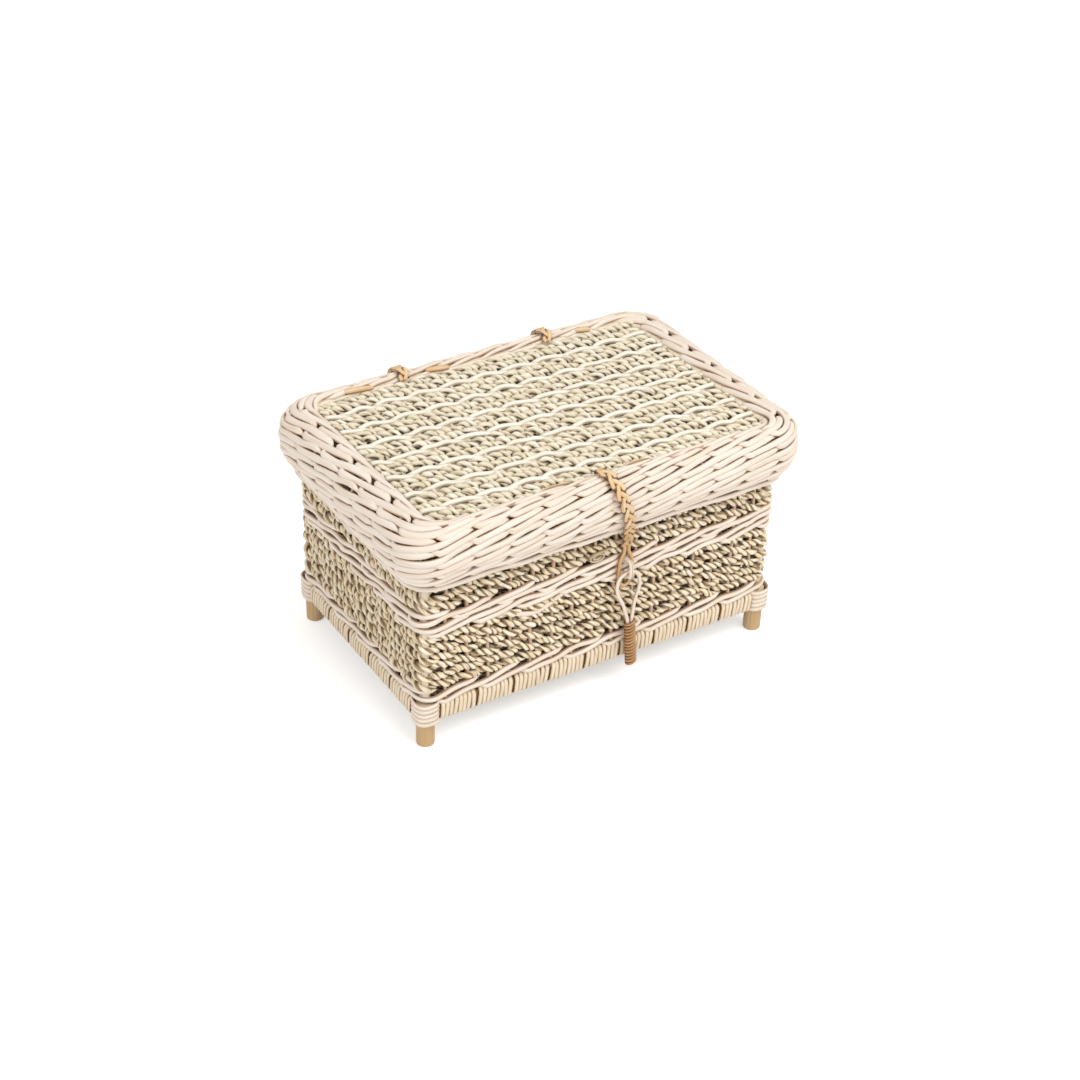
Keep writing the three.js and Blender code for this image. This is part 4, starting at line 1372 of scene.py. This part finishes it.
    def add_stakes(self) -> None:
        """Bend the stakes under the rounds, from the panel to the edge."""
        skin = self.skin()
        girth = skin.plan.girth()
        bundle = Bundle("lid_border_stakes", Seed.LID_STAKES)
        down = np.linspace(*self.stake_places, self.stake_points)
        wide, thick = self.stake_size
        for i in range(self.stakes):
            place = np.full(len(down), (i + 0.5) * girth / self.stakes)
            centre, out = skin.point(place, down, -self.stake_depth)
            bundle.add(centre, out, wide / 2, thick / 2)
        dress(bundle.make(), PEELED_CANE, "lid", "white_cane")

    def add_accents(self) -> None:
        """Lay the short ends of tan cane that show at the inner edge, at the back and the front."""
        plan = self.skin().plan
        front_middle, back_middle = plan.front_middle(), plan.back_middle()
        bundle = Bundle("lid_border_tan_ends", Seed.LID_ENDS)
        for start, end in self.back_ends:
            self.add_end(bundle, back_middle - end, back_middle - start)
        for start, end in self.front_ends:
            self.add_end(bundle, front_middle + start, front_middle + end)
        dress(bundle.make(), SKIN_CANE, "lid", "tan_cane")

    def add_end(self, bundle: Bundle, start: float, end: float) -> None:
        """Lay one such end, which comes up out of the weave and goes back in.

        Args:
            bundle: where it goes.
            start: where it begins, along the border.
            end: where it ends.
        """
        share = np.linspace(0, 1, self.end_points)
        rise = np.sqrt(np.sin(math.pi * share))
        down = self.end_place + self.end_fall * (share - 0.5)
        lift = self.end_rise * rise - self.end_depth
        centre, out = self.skin().point(start + (end - start) * share, down, lift)
        bundle.add_round(centre, out, self.cane, buried=self.end_shade * (1 - rise))

    def add_edge(self) -> None:
        """Lay the loose edge cane that the hinge loops hold."""
        skin = self.skin()
        girth = skin.plan.girth()
        along = even_places(girth, self.edge_step, True)
        bundle = Bundle("lid_edge_cane_round", Seed.LID_EDGE)
        radius = float(skin.outline(np.array([1.0]))[2][0])
        sizes = [np.full(len(along), size) for size in (self.edge_x, self.edge_y, radius)]
        plan_point, outward = skin.plan.place(along, *sizes)
        height = self.edge_height + self.edge_sway.draw(along, girth, bundle.rng)
        facing = np.column_stack([outward, np.zeros(len(along))])
        centre = np.column_stack([plan_point, height])
        bundle.add_round(centre, facing, self.edge_cane, FINE_SIDES, closed=True)
        dress(bundle.make(), PEELED_CANE, "lid", "white_cane", "lid_edge_cane")

    def build(self) -> None:
        """Build the stakes, the rounds and the edge."""
        self.add_stakes()
        self.add_wale()
        self.add_accents()
        self.add_edge()
        dress_node("lid_hoop", HOOP_CANE)


@dataclass(frozen=True)
class Braid:
    """A flat plait of three strands."""

    width: float = 9.4
    thickness: float = 3.8
    strands: int = 3
    strand: float = 3.5
    strand_half_share: float = 0.42
    crossing_share: float = 0.8
    # How much shade is painted on a strand where it passes under the others.
    under_shade: float = 1.3
    cycle: float = 30.0
    lift: float = 0.3

    def lay(self, bundle: Bundle, centre: np.ndarray, facing: np.ndarray | tuple, start: float = 0.0
            ) -> None:
        """Plait the strands along a line.

        Args:
            bundle: where the strands go.
            centre: the plait's middle line, evenly stepped.
            facing: the way that its face looks, at each point or all along it.
            start: where in its cycle it begins.
        """
        _, face, across = directions(centre, facing, False)
        walked = np.concatenate([[0], np.cumsum(np.linalg.norm(np.diff(centre, axis=0), axis=1))])
        swing = (self.width - self.strand) / 2
        depth = (self.thickness - self.strand * self.crossing_share) / 2
        half = self.strand * self.strand_half_share
        for strand in range(self.strands):
            angle = 2 * math.pi * (walked / self.cycle + strand / self.strands + start)
            offset = across * (swing * np.sin(angle))[:, None] + face * (depth * np.sin(2 * angle))[:, None]
            under = self.under_shade * np.clip(-np.sin(2 * angle), 0, 1)
            bundle.add(centre + offset, face, self.strand / 2, half, buried=under)


def smooth_line(points: np.ndarray, count: int) -> np.ndarray:
    """Draw an even smooth line through points.

    Args:
        points: the corners.
        count: how many points the line has.

    Returns:
        The line's points.
    """
    points = np.asarray(points, float)
    ends = np.vstack([2 * points[0] - points[1], points, 2 * points[-1] - points[-2]])
    line = []
    for i in range(len(points) - 1):
        a, b, c, d = ends[i:i + 4]
        t = np.linspace(0, 1, SPLINE_STEPS, endpoint=False)[:, None]
        square, cube = 2 * a - 5 * b + 4 * c - d, 3 * b - a - 3 * c + d
        line.append(0.5 * (2 * b + (c - a) * t + square * t ** 2 + cube * t ** 3))
    fine = np.vstack([*line, points[-1:]])
    walked = np.concatenate([[0], np.cumsum(np.linalg.norm(np.diff(fine, axis=0), axis=1))])
    even = np.linspace(0, walked[-1], count)
    return np.column_stack([np.interp(even, walked, fine[:, axis]) for axis in range(3)])


@dataclass
class Hinges:
    """Two tan braids over the back border, and the loops that hold the edge cane."""

    spacing: float = 120.0
    edge_y: float = 94.7
    edge_height: float = 133.4
    wall_inside: float = 83.3
    loop_radius: float = 4.1
    loop_strands: int = 3
    loop_strand: float = 2.3
    loop_thickness: float = 2.9
    loop_flatness: float = 2.5
    loop_points: int = 16
    braid_end: float = 0.97
    braid_points: int = 150
    braid_stride: int = 6
    braid: Braid = field(default_factory=Braid)
    lid: LidShell = field(default_factory=LidShell)

    def add_braid(self, name: str, x: float) -> None:
        """Lay a braid down the back of the lid.

        Args:
            name: the side's name.
            x: where it lies.
        """
        skin = self.lid.skin()
        down = np.linspace(0.0, self.braid_end, self.braid_points)
        lift = self.braid.lift + self.braid.thickness / 2
        centre, out = skin.point(np.full(len(down), skin.plan.back_middle()), down, lift)
        line = smooth_line(centre[::self.braid_stride], self.braid_points)
        line[:, 0] = x
        bundle = Bundle(f"hinge_braid_{name}_plait", Seed.HINGE_BRAID)
        self.braid.lay(bundle, line, out)
        dress(bundle.make(), SKIN_CANE, "lid", "tan_cane", f"hinge_braid_{name}")

    def add_loop(self, name: str, x: float) -> None:
        """Bend three tan strands through the wall and round the edge cane.

        Args:
            name: the side's name.
            x: where it lies.
        """
        bundle = Bundle(f"hinge_loop_{name}_strands", Seed.HINGE_LOOP)
        half = np.linspace(-math.pi / 2, math.pi / 2, self.loop_points)
        bulge, rise = self.loop_radius * np.cos(half), self.loop_radius * np.sin(half)
        y = np.concatenate([self.edge_y + bulge, self.wall_inside - bulge])
        z = np.concatenate([rise, -rise])
        middle = (self.edge_y + self.wall_inside) / 2
        facing = unit(np.column_stack([np.zeros(len(y)), y - middle, self.loop_flatness * z]))
        for strand in range(self.loop_strands):
            beside = (strand - (self.loop_strands - 1) / 2) * self.loop_strand
            centre = np.column_stack([np.full(len(y), x + beside), y, z + self.edge_height])
            bundle.add(centre, facing, self.loop_strand / 2, self.loop_thickness / 2, closed=True)
        dress(bundle.make(), SKIN_CANE, "basket", "tan_cane", f"hinge_loop_{name}")

    def build(self) -> None:
        """Build both hinges."""
        for name, side in (("left", -1), ("right", 1)):
            self.add_braid(name, side * self.spacing / 2)
            self.add_loop(name, side * self.spacing / 2)


@dataclass
class Clasp:
    """The strap's braid, its loose tongue and eye, the staple and the wound peg."""

    x: float = 14.0
    # The strap on the lid.
    strap_top_x: float = -10.0
    strap_bottom_x: float = 12.0
    strap_end: tuple[float, float] = (-98.84, 133.2)
    strap_places: tuple[float, float] = (0.07, 0.99)
    strap_points: int = 160
    strap_stride: int = 8
    fold_points: int = 10
    # Its loose tongue, from the fold down, and its eye.
    tongue_route: tuple = ((12.4, -98.84, 132.6), (13.0, -97.0, 127.5), (13.5, -93.7, 119.6))
    tongue_facing: tuple[float, float, float] = (0.0, -1.0, -0.3)
    tongue_start: float = 0.4
    tongue_points: int = 40
    eye_y: float = -93.7
    eye_bottom: float = 83.9
    eye_strand: float = 2.9
    # Its right half, from the bottom up: how far beside its middle and over its bottom.
    eye_half: tuple = (
        (0.0, 0.0), (4.05, 3.0), (5.25, 9.0), (4.65, 20.75), (1.9, 27.75), (1.7, 33.75),
    )
    # The staple: its bar in front of the wall, its legs and its tails inside.
    staple_cane: float = 3.0
    staple_bar: float = -101.1
    staple_legs: tuple[float, float] = (94.6, 107.6)
    staple_bend: float = 4.4
    staple_ease: float = 1.0
    staple_inside: float = -81.9
    staple_clench: float = 3.0
    staple_tails: tuple[float, float] = (84.4, 117.8)
    bent_points: int = 90
    # The peg and the grip wound on its tails.
    peg_y: float = -97.15
    peg_top: float = 97.8
    peg_cane: float = 2.7
    peg_lean: float = 5.0
    # Its right half, from the tail's end up: how far beside its middle and over its top.
    peg_half: tuple = (
        (1.55, -78.7), (1.55, -60.7), (1.55, -46.0), (1.95, -40.0), (4.95, -26.04),
        (8.7, -15.96), (9.2, -9.2), (6.624, -2.76), (0.0, 0.0),
    )
    peg_points: int = 160
    grip_top: float = -42.0
    grip_turns: int = 14
    grip_pitch: float = 2.7
    grip_half: tuple[float, float] = (3.8, 2.6)
    grip_slant: float = 0.9
    grip_cane: tuple[float, float] = (2.6, 1.6)
    # Shade painted on the grip's wraps.
    grip_shade: float = 0.35
    grip_points: int = 22
    braid: Braid = field(default_factory=Braid)
    lid: LidShell = field(default_factory=LidShell)

    def add_strap(self) -> None:
        """Lay the strap down the front of the lid, and its tongue below it."""
        skin = self.lid.skin()
        down = np.linspace(*self.strap_places, self.strap_points)
        lift = self.braid.lift + self.braid.thickness / 2
        centre, out = skin.point(np.full(len(down), skin.plan.front_middle()), down, lift)
        centre[:, 0] = np.linspace(self.strap_top_x, self.strap_bottom_x, len(down))
        end = (self.strap_bottom_x, *self.strap_end)
        route = np.vstack([centre[::self.strap_stride], end])
        line = smooth_line(route, self.strap_points + self.fold_points)
        facing = np.vstack([out, np.tile(out[-1], (self.fold_points, 1))])
        bundle = Bundle("strap_top_plait", Seed.STRAP)
        self.braid.lay(bundle, line, facing)
        dress(bundle.make(), SKIN_CANE, "lid", "tan_cane", "strap_top")
        tongue = smooth_line(np.array(self.tongue_route), self.tongue_points)
        loose = Bundle("strap_tongue_plait", Seed.TONGUE)
        self.braid.lay(loose, tongue, self.tongue_facing, self.tongue_start)
        dress(loose.make(), WORN_SHADED_CANE, "strap", "tan_cane", "strap_tongue")

    def add_eye(self) -> None:
        """Bend the eye's two strands round to meet at the bottom."""
        low = self.eye_bottom + self.eye_strand / 2
        left = [(-beside, over) for beside, over in self.eye_half[:0:-1]]
        outline = left + list(self.eye_half)
        corners = np.array([(self.x + beside, self.eye_y, low + over) for beside, over in outline])
        bundle = Bundle("strap_eye_strands", Seed.EYE)
        bundle.add_round(smooth_line(corners, self.bent_points), FRONT, self.eye_strand, FINE_SIDES)
        dress(bundle.make(), WORN_SHADED_CANE, "strap", "tan_cane", "strap_eye")

    def add_staple(self) -> None:
        """Bend the staple: a bar in front, legs through the wall and tails inside."""
        bar, bend, ease = self.staple_bar, self.staple_bend, self.staple_ease
        inside, clench = self.staple_inside, self.staple_clench
        low, high = self.staple_legs
        bottom, top = self.staple_tails
        outline = [
            (inside, bottom), (inside, low - clench), (inside - clench, low),
            (bar + bend, low), (bar + ease, low + ease), (bar, low + bend),
            (bar, high - bend), (bar + ease, high - ease), (bar + bend, high),
            (inside - clench, high), (inside, high + clench), (inside, top),
        ]
        corners = np.array([(self.x, y, z) for y, z in outline])
        bundle = Bundle("clasp_staple_cane", Seed.STAPLE)
        bundle.add_round(smooth_line(corners, self.bent_points), RIGHT, self.staple_cane, FINE_SIDES)
        dress(bundle.make(), PEELED_CANE, "basket", "white_cane", "clasp_staple")

    def peg_point(self, beside: np.ndarray, over: np.ndarray) -> np.ndarray:
        """Place points of the peg, which leans.

        Args:
            beside: how far to the right of its middle.
            over: how far over its top, which is negative below it.

        Returns:
            The points.
        """
        lean = math.radians(self.peg_lean)
        x = self.x + beside * math.cos(lean) - over * math.sin(lean)
        z = self.peg_top + beside * math.sin(lean) + over * math.cos(lean)
        return np.column_stack([x, np.full(len(x), self.peg_y), z])

    def add_peg(self) -> None:
        """Bend the peg's cane and wind its tails."""
        left = [(-beside, over) for beside, over in self.peg_half[-2::-1]]
        outline = np.array(list(self.peg_half) + left)
        line = smooth_line(self.peg_point(outline[:, 0], outline[:, 1]), self.peg_points)
        bundle = Bundle("peg_loop_cane", Seed.PEG)
        bundle.add_round(line, FRONT, self.peg_cane, FINE_SIDES)
        dress(bundle.make(), PEELED_CANE, "peg", "white_cane", "peg_loop")
        grip = Bundle("peg_winding_wraps", Seed.GRIP)
        angle = np.linspace(0, 2 * math.pi, self.grip_points, endpoint=False)
        half_width, half_depth = self.grip_half
        wide, thick = self.grip_cane
        for turn in range(self.grip_turns):
            middle = self.grip_top - (turn + 0.5) * self.grip_pitch
            centre = self.peg_point(half_width * np.cos(angle), middle + self.grip_slant * np.cos(angle))
            centre[:, 1] += half_depth * np.sin(angle)
            facing = unit(centre - self.peg_point(np.zeros(1), np.full(1, middle)))
            grip.add(centre, facing, wide / 2, thick / 2, closed=True, buried=self.grip_shade)
        dress(grip.make(), HANDLED_CANE, "peg", "tan_cane", "peg_winding")

    def build(self) -> None:
        """Build the clasp from the lid down."""
        self.add_strap()
        self.add_eye()
        self.add_staple()
        self.add_peg()


@dataclass
class Base:
    """Feet, base rods with their flat lashing, corner bindings and floor bearers.

    Angles are in degrees. A slant is its middle and its spread.
    """

    rod_x: float = 130.7
    rod_y: float = 76.9
    middle_x: float = 140.4
    middle_y: float = 86.6
    # The flat wraps of the lashing round each rod.
    bottom: float = 20.0
    height: float = 16.0
    depth: float = 10.0
    rounding: float = 4.2
    wrap_width: float = 3.5
    wrap_thickness: float = 0.9
    wrap_slant: tuple[float, float] = (6.0, 1.8)
    wrap_place_spread: float = 0.12
    wrap_size_spread: tuple[float, float] = (0.02, 0.025)
    crown: float = 0.45
    bend_segments: int = 3
    edge_share: float = 0.3
    edge_angle: float = 60.0
    smooth_angle: float = 50.0
    group_pitch: float = 28.8
    group_gap: float = 1.8
    # The turns round each leg.
    leg_x: float = 138.0
    leg_y: float = 84.2
    binding_size: float = 17.4
    binding_rounding: float = 6.8
    binding_width: float = 4.0
    binding_turns: int = 5
    binding_pitch: float = 3.6
    binding_slant: tuple[float, float] = (3.0, 1.0)

    def model_band(self, name: str, across: float, height: float, rounding: float, width: float
                   ) -> bpy.types.Object:
        """Model one turn of flat cane, round the X axis.

        Args:
            name: its name.
            across: its outside size along Y.
            height: its outside size along Z.
            rounding: the radius of its corners.
            width: the cane's width.

        Returns:
            The turn, centred at the origin.
        """
        bpy.ops.object.select_all(action="DESELECT")
        bpy.ops.mesh.primitive_plane_add(size=1, rotation=(0, math.pi / 2, 0))
        band = bpy.context.object
        band.name = name
        band.scale = (height * MM, across * MM, 1)
        bpy.ops.object.transform_apply(location=False, rotation=True, scale=True)
        bpy.ops.object.mode_set(mode="EDIT")
        bpy.ops.mesh.select_all(action="SELECT")
        bpy.ops.mesh.bevel(offset=rounding * MM, segments=self.bend_segments, affect="VERTICES")
        bpy.ops.mesh.select_all(action="SELECT")
        bpy.ops.mesh.delete(type="ONLY_FACE")
        bpy.ops.mesh.select_all(action="SELECT")
        half = {"value": (width * MM / 2, 0, 0)}
        swell = (1, 1 + 2 * self.crown / across, 1 + 2 * self.crown / height)
        for resize in (swell, [1 / share for share in swell]):
            bpy.ops.mesh.extrude_region_move(TRANSFORM_OT_translate=half)
            bpy.ops.transform.resize(value=resize)
        bpy.ops.mesh.select_all(action="SELECT")
        bpy.ops.transform.translate(value=(-width * MM / 2, 0, 0))
        bpy.ops.mesh.normals_make_consistent(inside=False)
        bpy.ops.object.mode_set(mode="OBJECT")
        wall = band.modifiers.new("wall", "SOLIDIFY")
        wall.thickness = self.wrap_thickness * MM
        wall.offset = -1
        crown = band.modifiers.new("crown", "BEVEL")
        crown.width = self.edge_share * self.wrap_thickness * MM
        crown.segments = 1
        crown.angle_limit = math.radians(self.edge_angle)
        for modifier in ("wall", "crown"):
            bpy.ops.object.modifier_apply(modifier=modifier)
        bpy.ops.object.shade_smooth_by_angle(angle=math.radians(self.smooth_angle))
        return band

    def copy_to(self, model: bpy.types.Object, place: Matrix, tone: float) -> bpy.types.Object:
        """Copy a turn with its own mesh.

        Args:
            model: the turn.
            place: where the copy goes, in millimetres.
            tone: its shade of the finish.

        Returns:
            The copy, with its place in its mesh.
        """
        mesh = model.data.copy()
        off_middle = np.array([abs(vertex.co.x) for vertex in mesh.vertices])
        place = place.copy()
        place.translation *= MM
        mesh.transform(place)
        # Shade is painted on each turn towards its edges, in the grooves between turns.
        shades = ((TONE, np.full(len(off_middle), tone)), (PAINTED_CLEFT_SHADE, off_middle / off_middle.max()))
        for title, values in shades:
            shade = mesh.attributes.new(title, "FLOAT", "POINT")
            shade.data.foreach_set("value", values)
        copy = bpy.data.objects.new(model.name, mesh)
        bpy.context.scene.collection.objects.link(copy)
        return copy

    def join(self, copies: list[bpy.types.Object], name: str) -> bpy.types.Object:
        """Join copies into one piece.

        Args:
            copies: the copies.
            name: the piece's name.

        Returns:
            The piece.
        """
        bpy.ops.object.select_all(action="DESELECT")
        for copy in copies:
            copy.select_set(True)
        bpy.context.view_layer.objects.active = copies[0]
        bpy.ops.object.join()
        copies[0].name = name
        copies[0].data.name = name
        return copies[0]

    def add_lashing(self, model: bpy.types.Object, name: str, length: float, turn: float, middle: Vector,
                    rng: np.random.Generator) -> None:
        """Lash one side in groups of wraps.

        Args:
            model: one wrap, round the X axis.
            name: the side's name.
            length: the rod's length.
            turn: the side's turn about the upright, in degrees.
            middle: the rod's middle.
            rng: the seeded source of unevenness.
        """
        groups = round(length / self.group_pitch)
        pitch = length / groups
        wraps = round((pitch - self.group_gap) / self.wrap_width)
        side = Matrix.Rotation(math.radians(turn), 4, "Z")
        depth_spread, height_spread = self.wrap_size_spread
        copies = []
        for group in range(groups):
            start = -length / 2 + group * pitch + self.group_gap / 2
            for wrap in range(wraps):
                x = start + (wrap + 0.5) * (pitch - self.group_gap) / wraps
                x += rng.normal(0, self.wrap_place_spread)
                slant = Matrix.Rotation(math.radians(rng.normal(*self.wrap_slant)), 4, "Y")
                swell = Matrix.Diagonal((1, rng.normal(1, depth_spread), rng.normal(1, height_spread), 1))
                place = Matrix.Translation(middle) @ side @ Matrix.Translation((x, 0, 0)) @ slant @ swell
                copies.append(self.copy_to(model, place, rng.uniform()))
        piece = self.join(copies, f"lashing_{name}_wraps")
        dress(piece, SPLIT_CANE, "basket", "flat_cane", f"lashing_{name}")

    def build(self) -> None:
        """Build the base."""
        rng = np.random.default_rng(Seed.BASE)
        wrap = self.model_band("wrap", self.depth, self.height, self.rounding, self.wrap_width)
        height = self.bottom + self.height / 2
        sides = (
            ("front", 2 * self.rod_x, 0, Vector((0, -self.middle_y, height))),
            ("back", 2 * self.rod_x, 180, Vector((0, self.middle_y, height))),
            ("left", 2 * self.rod_y, -90, Vector((-self.middle_x, 0, height))),
            ("right", 2 * self.rod_y, 90, Vector((self.middle_x, 0, height))),
        )
        for name, length, turn, middle in sides:
            self.add_lashing(wrap, name, length, turn, middle, rng)
        ring = self.model_band(
            "ring", self.binding_size, self.binding_size, self.binding_rounding, self.binding_width
        )
        upright = Matrix.Rotation(math.pi / 2, 4, "Y")
        corners = (("front_left", -1, -1), ("front_right", 1, -1), ("back_left", -1, 1), ("back_right", 1, 1))
        for name, side_x, side_y in corners:
            copies = []
            for turn in range(self.binding_turns):
                z = self.bottom + (turn + 0.5) * self.binding_pitch
                tilt = Matrix.Rotation(math.radians(rng.normal(*self.binding_slant)), 4, "X")
                middle = Matrix.Translation((side_x * self.leg_x, side_y * self.leg_y, z))
                copies.append(self.copy_to(ring, middle @ tilt @ upright, rng.uniform()))
            piece = self.join(copies, f"binding_{name}_turns")
            dress(piece, BINDING_CANE, "basket", "flat_cane", f"binding_{name}")
            dress_node(f"leg_{name}", POLE_UP)
        for model in (wrap, ring):
            bpy.data.objects.remove(model)
        for name in ("front", "back"):
            dress_node(f"base_rod_{name}", POLE_ALONG_X)
        for name in ("left", "right"):
            dress_node(f"base_rod_{name}", POLE_ALONG_Y)
        for name in ("left", "middle", "right"):
            dress_node(f"floor_bearer_{name}", POLE_ALONG_Y)


@dataclass
class Studio:
    """A white floor, soft even light and the camera at the photograph's angle."""

    turn: float = -32.42
    height: float = 33.65
    roll: float = 1.80
    distance: float = 1542.9
    aim_height: float = 72.6
    aim_right: float = 2.78
    sensor: float = 36.0
    focal_share: float = 2133.6 / 1080
    view_end: float = 50.0
    floor_size: float = 8.0
    floor_colour: str = "f4f4f4"
    floor_roughness: float = 0.9
    floor_specular: float = 0.1
    floor_glow: float = 0.44
    white: str = "ffffff"
    world_strength: float = 0.62
    lamp_size: float = 1.6
    lamp_aim: tuple[float, float, float] = (0.0, 0.0, 0.09)
    key_place: tuple[float, float, float] = (0.5, -1.2, 1.9)
    key_power: float = 28.0
    fill_place: tuple[float, float, float] = (-1.9, -0.7, 1.1)
    fill_power: float = 10.0

    def add_camera(self) -> None:
        """Set the camera where the photograph was taken from."""
        turn, height, roll = (math.radians(a) for a in (self.turn, self.height, self.roll))
        right = Vector((math.cos(turn), math.sin(turn), 0))
        level_part = math.cos(height)
        back = Vector((math.sin(turn) * level_part, -math.cos(turn) * level_part, math.sin(height)))
        up = back.cross(right)
        level, upright = math.cos(roll), math.sin(roll)
        image_right = right * level + up * upright
        image_up = up * level - right * upright
        aim = Vector((0, 0, self.aim_height)) + right * self.aim_right
        camera = bpy.data.cameras.new("camera")
        camera.sensor_width = self.sensor
        camera.lens = self.sensor * self.focal_share
        camera.clip_end = self.view_end
        holder = bpy.data.objects.new("camera", camera)
        place = Matrix((image_right, image_up, back)).transposed().to_4x4()
        place.translation = (aim + back * self.distance) * MM
        holder.matrix_world = place
        bpy.context.scene.collection.objects.link(holder)
        bpy.context.scene.camera = holder

    def seen_directly(self, tree: bpy.types.NodeTree) -> bpy.types.NodeSocket:
        """Tell rays that show the background from rays that light the object.

        Args:
            tree: the node tree of the floor or the world.

        Returns:
            A socket that is 1 for rays of the camera, of gloss and of glass, and 0 for others.
        """
        rays = add_node(tree, "ShaderNodeLightPath")
        first = {0: rays.outputs["Is Camera Ray"], 1: rays.outputs["Is Glossy Ray"]}
        both = add_node(tree, "ShaderNodeMath", first, operation="ADD").outputs[0]
        third = {0: both, 1: rays.outputs["Is Transmission Ray"]}
        return add_node(tree, "ShaderNodeMath", third, operation="ADD", use_clamp=True).outputs[0]

    def add_world(self) -> None:
        """Light the box evenly, with a white background behind it."""
        world = bpy.data.worlds.new("studio")
        world.use_nodes = True
        bpy.context.scene.world = world
        tree = world.node_tree
        tree.nodes.clear()
        seen = self.seen_directly(tree)
        inputs = {"Value": seen, "To Min": self.world_strength, "To Max": 1.0}
        strength = add_node(tree, "ShaderNodeMapRange", inputs).outputs[0]
        inputs = {"Color": linear(self.white), "Strength": strength}
        light = add_node(tree, "ShaderNodeBackground", inputs)
        add_node(tree, "ShaderNodeOutputWorld", {"Surface": light.outputs[0]})

    def add_floor(self) -> None:
        """Lay the floor, which keeps the shadow and is otherwise white to the camera."""
        bpy.ops.object.select_all(action="DESELECT")
        bpy.ops.mesh.primitive_plane_add(size=self.floor_size)
        floor = bpy.context.object
        floor.name = "floor"
        material = bpy.data.materials.new("matt_white_paper")
        material.use_nodes = True
        tree = material.node_tree
        tree.nodes.clear()
        seen = self.seen_directly(tree)
        factors = {0: seen, 1: self.floor_glow}
        glow = add_node(tree, "ShaderNodeMath", factors, operation="MULTIPLY").outputs[0]
        shader = add_node(tree, "ShaderNodeBsdfPrincipled", {
            "Base Color": linear(self.floor_colour),
            "Roughness": self.floor_roughness,
            "Specular IOR Level": self.floor_specular,
            "Emission Color": linear(self.white),
            "Emission Strength": glow,
        })
        add_node(tree, "ShaderNodeOutputMaterial", {"Surface": shader.outputs[0]})
        floor.data.materials.append(material)

    def add_lamp(self, name: str, place: tuple[float, float, float], power: float) -> None:
        """Hang a square soft lamp that looks at the box.

        Args:
            name: the lamp's name.
            place: where it hangs, in metres.
            power: its power, in watts.
        """
        lamp = bpy.data.lights.new(name, "AREA")
        lamp.energy = power
        lamp.size = self.lamp_size
        holder = bpy.data.objects.new(name, lamp)
        holder.location = place
        away = Vector(place) - Vector(self.lamp_aim)
        holder.rotation_euler = away.to_track_quat("Z", "Y").to_euler()
        bpy.context.scene.collection.objects.link(holder)

    def build(self) -> None:
        """Set up the camera, the light and the floor."""
        bpy.context.scene.view_settings.view_transform = "Standard"
        self.add_camera()
        self.add_world()
        self.add_floor()
        self.add_lamp("key", self.key_place, self.key_power)
        self.add_lamp("fill", self.fill_place, self.fill_power)


def main() -> None:
    """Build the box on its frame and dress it."""
    logging.basicConfig(level=logging.INFO, format="%(message)s")
    Studio().build()
    Base().build()
    floor = TwinedPanel(
        "floor", "floor_panel", "basket", half_x=133.5, half_y=80.0, height=29.6, seed=Seed.FLOOR,
        cane_row_every=0, cord=Cord(step=2.2, sides=5),
    )
    floor.build()
    Wall().build()
    lid_panel = TwinedPanel(
        "lid_panel", "lid_panel", "lid", half_x=132.2, half_y=87.6, height=173.9, seed=Seed.LID_PANEL,
        grass=TOP_LIT_SEAGRASS, cord=Cord(ply=1.75, spread=1.4, turn=13.0),
    )
    lid_panel.build()
    LidShell().build()
    Hinges().build()
    Clasp().build()


if __name__ == "__main__":
    main()
